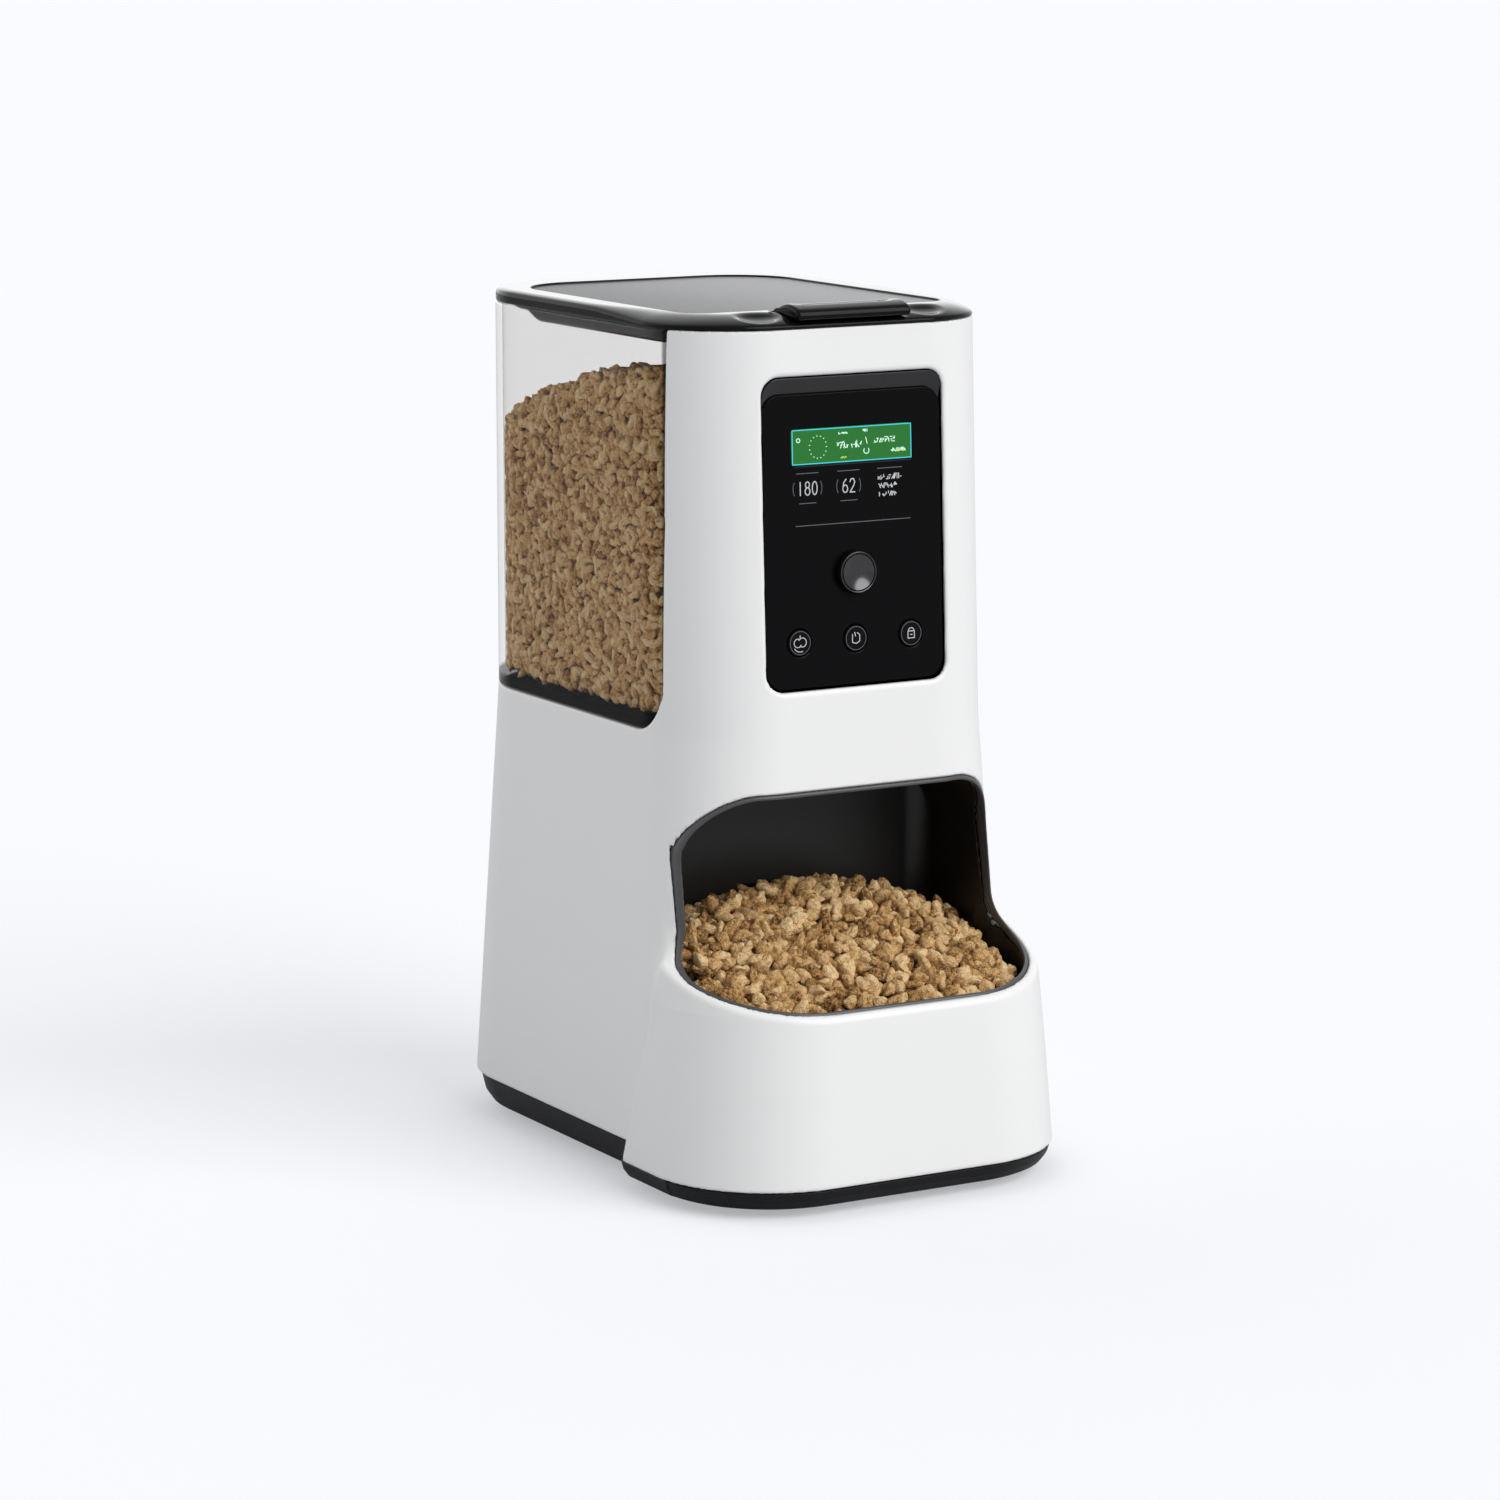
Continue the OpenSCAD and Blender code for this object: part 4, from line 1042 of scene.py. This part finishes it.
knob = lathe("knob_dial", [(3.0, 9.3), (3.0, 2.1), (8.4, 2.2), (8.7, 1.9), (8.7, 0.9), (8.55, 0.0), (8.2,
        -0.6),
                           (7.7, -0.95), (7.2, -1.0), (6.7, -0.8), (6.1, -0.4), (4.0, -0.6), (2.0,
                           -0.75), (0.05, -0.8)],
             (0, KNOB_H), KNOB, "knob")
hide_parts("control_knob")
lathe("knob_ring", [(7.85, -0.8), (8.2, -0.66), (8.28, -0.8), (8.05, -1.05), (7.85, -1.1), (7.75, -0.95)],
        (0, KNOB_H), RING,
      "knob")
for name, x in (("left", -BUTTON_X), ("middle", 0.0), ("right", BUTTON_X)):
    b = lathe("button_cap_" + name, [(2.0, 7.5), (2.0, 5.6), (5.15, 5.5), (5.2, 5.3), (5.2, 2.6), (5.05,
            2.25), (4.8, 2.1),
                                     (4.2, 2.12), (2.6, 2.2), (0.05,
                                     2.24)], (x, BUTTON_H), BUTTON, name + "_button",
              64)
    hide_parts("button_" + name)


def strokes(name, lines, width, depth, mat, body_name, thick=0.07):
    """Thin raised marks: each line is a list of (x, height) points, closed if first equals last."""
    pts, faces = [], []
    for line in lines:
        p = np.array(line, float)
        closed = np.allclose(p[0], p[-1]) and len(p) > 2
        if closed:
            p = p[:-1]
        n = len(p)
        for i in range(n if closed else n - 1):
            a, b = p[i], p[(i + 1) % n]
            d = (b - a) / max(np.linalg.norm(b - a), 1e-6)
            m = np.array([-d[1], d[0]]) * width / 2
            a, b = a - d * width * 0.35, b + d * width * 0.35
            k = len(pts)
            for q in (a - m, b - m, b + m, a + m):
                pts.append((q[0], depth, q[1]))
            for q in (a - m, b - m, b + m, a + m):
                pts.append((q[0], depth - thick, q[1]))
            faces += [[k, k + 1, k + 2, k + 3], [k + 7, k + 6, k + 5, k + 4]]
            for j in range(4):
                t = (j + 1) % 4
                faces.append([k + t, k + j, k + 4 + j, k + 4 + t])
    return mesh_object(name, face_to_row(pts), faces, mat, body_name, smooth=False)


def circle(cx, cy, r, n=28, a0=0, a1=360):
    return [(cx + r * math.cos(math.radians(a0 + (a1 - a0) * i / n)),
            cy + r * math.sin(math.radians(a0 + (a1 - a0) * i / n)))
            for i in range(n + 1)]


def scribble(rng, x, y, width, height, pitch):
    """A row of small made-up signs: two or three short strokes in each cell."""
    lines = []
    k = 0.0
    while k < width:
        w, h = pitch * rng.uniform(0.5, 0.72), height * rng.uniform(0.65, 1.0)
        knots = [(0, 0), (0, h), (w, h), (w, 0), (w * 0.5, h * 0.5), (0, h * 0.5), (w, h * 0.5)]
        for _ in range(rng.integers(2, 4)):
            i, j = rng.choice(len(knots), 2, replace=False)
            lines.append([(x + k + knots[i][0], y + knots[i][1]), (x + k + knots[j][0], y + knots[j][1])])
        k += pitch
    return lines


def oval_digit(kind, x, y, w, h):
    c = (x + w / 2, y + h / 2)
    oval = [(c[0] + w / 2 * math.cos(a), c[1] + h / 2 * math.sin(a)) for a in np.linspace(0, 2 * math.pi, 17)]
    if kind == "0":
        return [oval]
    if kind == "1":
        return [[(c[0], y), (c[0], y + h)]]
    low = [(c[0] + w / 2 * math.cos(a), y + h * 0.28 + h * 0.28 * math.sin(a)) for a in np.linspace(0,
            2 * math.pi, 15)]
    if kind == "6":
        return [low, [(x, y + h * 0.3), (x + w * 0.2, y + h * 0.75), (x + w * 0.7, y + h)]]
    if kind == "8":
        top = [(c[0] + w * 0.42 * math.cos(a),
                y + h * 0.78 + h * 0.22 * math.sin(a)) for a in np.linspace(0, 2 * math.pi, 15)]
        return [low, top]
    return [[(x, y + h * 0.8), (x + w * 0.25, y + h), (x + w * 0.8, y + h), (x + w, y + h * 0.75),
            (x + w * 0.8, y + h * 0.5),
             (x, y), (x + w, y)]]


FACE = 2.62       # depth of marks on the flat face
rng = np.random.default_rng(5)
lines = []
for group, x0 in (("180", -25.2), ("62", -4.6)):
    for k, ch in enumerate(group):
        lines += oval_digit(ch, x0 + k * 3.3, 16.6, 2.2, 5.2)
strokes("panel_digits", lines, 0.42, FACE, MARK, "housing")
lines = []
for x0, x1 in ((-27.4, -14.2), (-7.4, 3.6)):
    lines += [circle(x0 + 6, 19.2, 6, 6, 155, 205), circle(x1 - 6, 19.2, 6, 6, -25, 25)]
    m = (x0 + x1) / 2
    lines += [[(m - 5, 25.2), (m + 5, 25.2)], [(m - 3.8, 13.4), (m + 3.8, 13.4)]]
lines += [[(11.5, 25.2), (22.8, 25.2)], [(-26.4, 4.6), (26.4, 4.6)]]
strokes("panel_rules", lines, 0.3, FACE, DIM, "housing")
lines = scribble(rng, 11.8, 20.8, 11, 2.2, 1.25) + scribble(rng, 12.0, 17.4, 7.6, 2.0, 1.25)
lines += scribble(rng, 12.2, 14.2, 7.4, 1.8, 1.2)
strokes("panel_notes", lines, 0.34, FACE, MARK, "housing")
border = [[(-27.3, 28.8), (27.3, 28.8), (27.3, 42.2), (-27.3, 42.2), (-27.3, 28.8)]]
strokes("lcd_frame_line", border, 0.4, 2.7, CYAN, "housing")
lines = []
for k in range(15):
    a = math.radians(k * 24)
    x, y = -15.6 + 3.9 * math.cos(a), 35.2 + 4.4 * math.sin(a)
    lines.append([(x - 0.13, y), (x + 0.13, y)])
lines += [circle(-24.6, 38.2, 0.8, 8), circle(6.6, 32.6, 1.2, 10, 140, 400), [(7.0, 35.4), (6.4, 37.8)]]
lines += scribble(rng, -6.8, 34.2, 11.6, 2.9, 1.5) + scribble(rng, 10.2, 35.6, 10, 2.0, 1.25)
lines += scribble(rng, -6.0, 39.8, 3.6, 0.9, 1.1) + scribble(rng, 5.2, 40.2, 2.2, 0.9, 1.1)
lines += scribble(rng, 18.0, 31.6, 6.6, 1.5, 1.2)
strokes("lcd_marks", lines, 0.34, 2.7, GLYPH, "housing")
strokes("lcd_marks_low", scribble(rng, -5.2, 30.2, 3.0, 0.8, 1.0) + scribble(rng, 21.0, 31.5, 3.2, 0.7,
        1.1), 0.3, 2.68, GOLD,
        "housing")
for name, x in (("left", -BUTTON_X), ("middle", 0.0), ("right", BUTTON_X)):
    y = BUTTON_H
    strokes("button_ring_" + name, [circle(x, y, 4.6, 44)], 0.24, 2.14, DIM, name + "_button",
            0.06)
    if name == "left":
        icon = [circle(x - 1.1, y, 1.7, 18, 60, 330), circle(x + 1.0, y + 0.2, 1.8, 18, -120, 150), [(x,
                y + 2.2), (x, y + 3.0)],
                circle(x, y - 0.4, 3.1, 12, 215, 290)]
    elif name == "middle":
        icon = [[(x - 1.6, y + 1.6), (x - 1.7, y - 1.6), (x + 0.2, y - 2.1), (x + 1.7, y - 1.2), (x + 1.7,
                y + 1.3),
                 (x + 0.6, y + 2.2)], [(x - 0.6, y + 2.4), (x - 0.2, y + 0.9)]]
    else:
        icon = [[(x - 1.5, y - 1.9), (x + 1.5, y - 1.9), (x + 1.5, y + 0.9), (x - 1.5, y + 0.9), (x - 1.5,
                y - 1.9)],
                circle(x, y + 0.9, 1.3, 12, 0, 180), [(x - 0.4, y - 0.5), (x + 0.5, y - 0.5)]]
    strokes("button_mark_" + name, icon, 0.32, 2.2, MARK, name + "_button", 0.07)

# ------------------------------------------------------------------ camera, floor, light
cam = bpy.data.cameras.new("camera")
cam.lens = 119.5
cam.sensor_width = 36
cam_ob = bpy.data.objects.new("camera", cam)
bpy.context.scene.collection.objects.link(cam_ob)
cam_ob.location = (-1.0141, -1.7459, 0.5273)
az, el = math.radians(-30.11), math.radians(10.22)
back = Vector((math.sin(az) * math.cos(el), -math.cos(az) * math.cos(el), math.sin(el)))
cam_ob.rotation_euler = back.to_track_quat("Z", "Y").to_euler()
cam.clip_end = 200
bpy.context.scene.camera = cam_ob

def sun(name, direction, strength, angle):
    d = bpy.data.lights.new(name, "SUN")
    d.energy = strength
    d.angle = math.radians(angle)
    ob = bpy.data.objects.new(name, d)
    bpy.context.scene.collection.objects.link(ob)
    ob.rotation_euler = Vector(direction).to_track_quat("Z", "Y").to_euler()


me = bpy.data.meshes.new("floor")
n = 96
ring = [(80 * math.cos(2 * math.pi * i / n), 80 * math.sin(2 * math.pi * i / n), 0) for i in range(n)]
me.from_pydata(ring, [], [list(range(n))])
floor = bpy.data.objects.new("floor", me)
bpy.context.scene.collection.objects.link(floor)
paper = bpy.data.materials.new("floor")
paper.use_nodes = True
nt = paper.node_tree
bsdf = nt.nodes["Principled BSDF"]
bsdf.inputs["Base Color"].default_value = (0.56, 0.565, 0.583, 1)
bsdf.inputs["Roughness"].default_value = 1.0
bsdf.inputs["Specular IOR Level"].default_value = 0.0
bsdf.inputs["Emission Color"].default_value = (0.985, 0.993, 1.03, 1)
path = nt.nodes.new("ShaderNodeLightPath")
lift = nt.nodes.new("ShaderNodeMath")
lift.operation = "MULTIPLY"
lift.inputs[1].default_value = 0.395
nt.links.new(path.outputs["Is Camera Ray"], lift.inputs[0])
nt.links.new(lift.outputs[0], bsdf.inputs["Emission Strength"])
me.materials.append(paper)

world = bpy.data.worlds.new("studio")
bpy.context.scene.world = world
world.use_nodes = True
nt = world.node_tree
bg = nt.nodes["Background"]
coord = nt.nodes.new("ShaderNodeTexCoord")
axes = nt.nodes.new("ShaderNodeSeparateXYZ")
nt.links.new(coord.outputs["Generated"], axes.inputs[0])
span = nt.nodes.new("ShaderNodeMapRange")
span.interpolation_type = "SMOOTHSTEP"
span.inputs["From Min"].default_value, span.inputs["From Max"].default_value = 0.1, 0.8
span.inputs["To Min"].default_value, span.inputs["To Max"].default_value = 0.5, 1.05
nt.links.new(axes.outputs["Y"], span.inputs["Value"])
low = nt.nodes.new("ShaderNodeMapRange")
low.interpolation_type = "SMOOTHSTEP"
low.inputs["From Min"].default_value, low.inputs["From Max"].default_value = 0.5, 0.25
nt.links.new(axes.outputs["Z"], low.inputs["Value"])
far = nt.nodes.new("ShaderNodeMapRange")
far.interpolation_type = "SMOOTHSTEP"
far.inputs["From Min"].default_value, far.inputs["From Max"].default_value = 0.6, 0.9
far.inputs["To Max"].default_value = 0.5
nt.links.new(axes.outputs["Y"], far.inputs["Value"])
glow = nt.nodes.new("ShaderNodeMath")
glow.operation = "MULTIPLY_ADD"
nt.links.new(low.outputs["Result"], glow.inputs[0])
nt.links.new(far.outputs["Result"], glow.inputs[1])
nt.links.new(span.outputs["Result"], glow.inputs[2])
nt.links.new(glow.outputs[0], bg.inputs["Strength"])
bg.inputs["Color"].default_value = (0.99, 0.993, 1.0, 1)
sun("key", (0.333, -0.714, 0.616), 1.92, 50)
bpy.context.scene.view_settings.view_transform = "Standard"
bpy.context.scene.view_settings.look = "None"
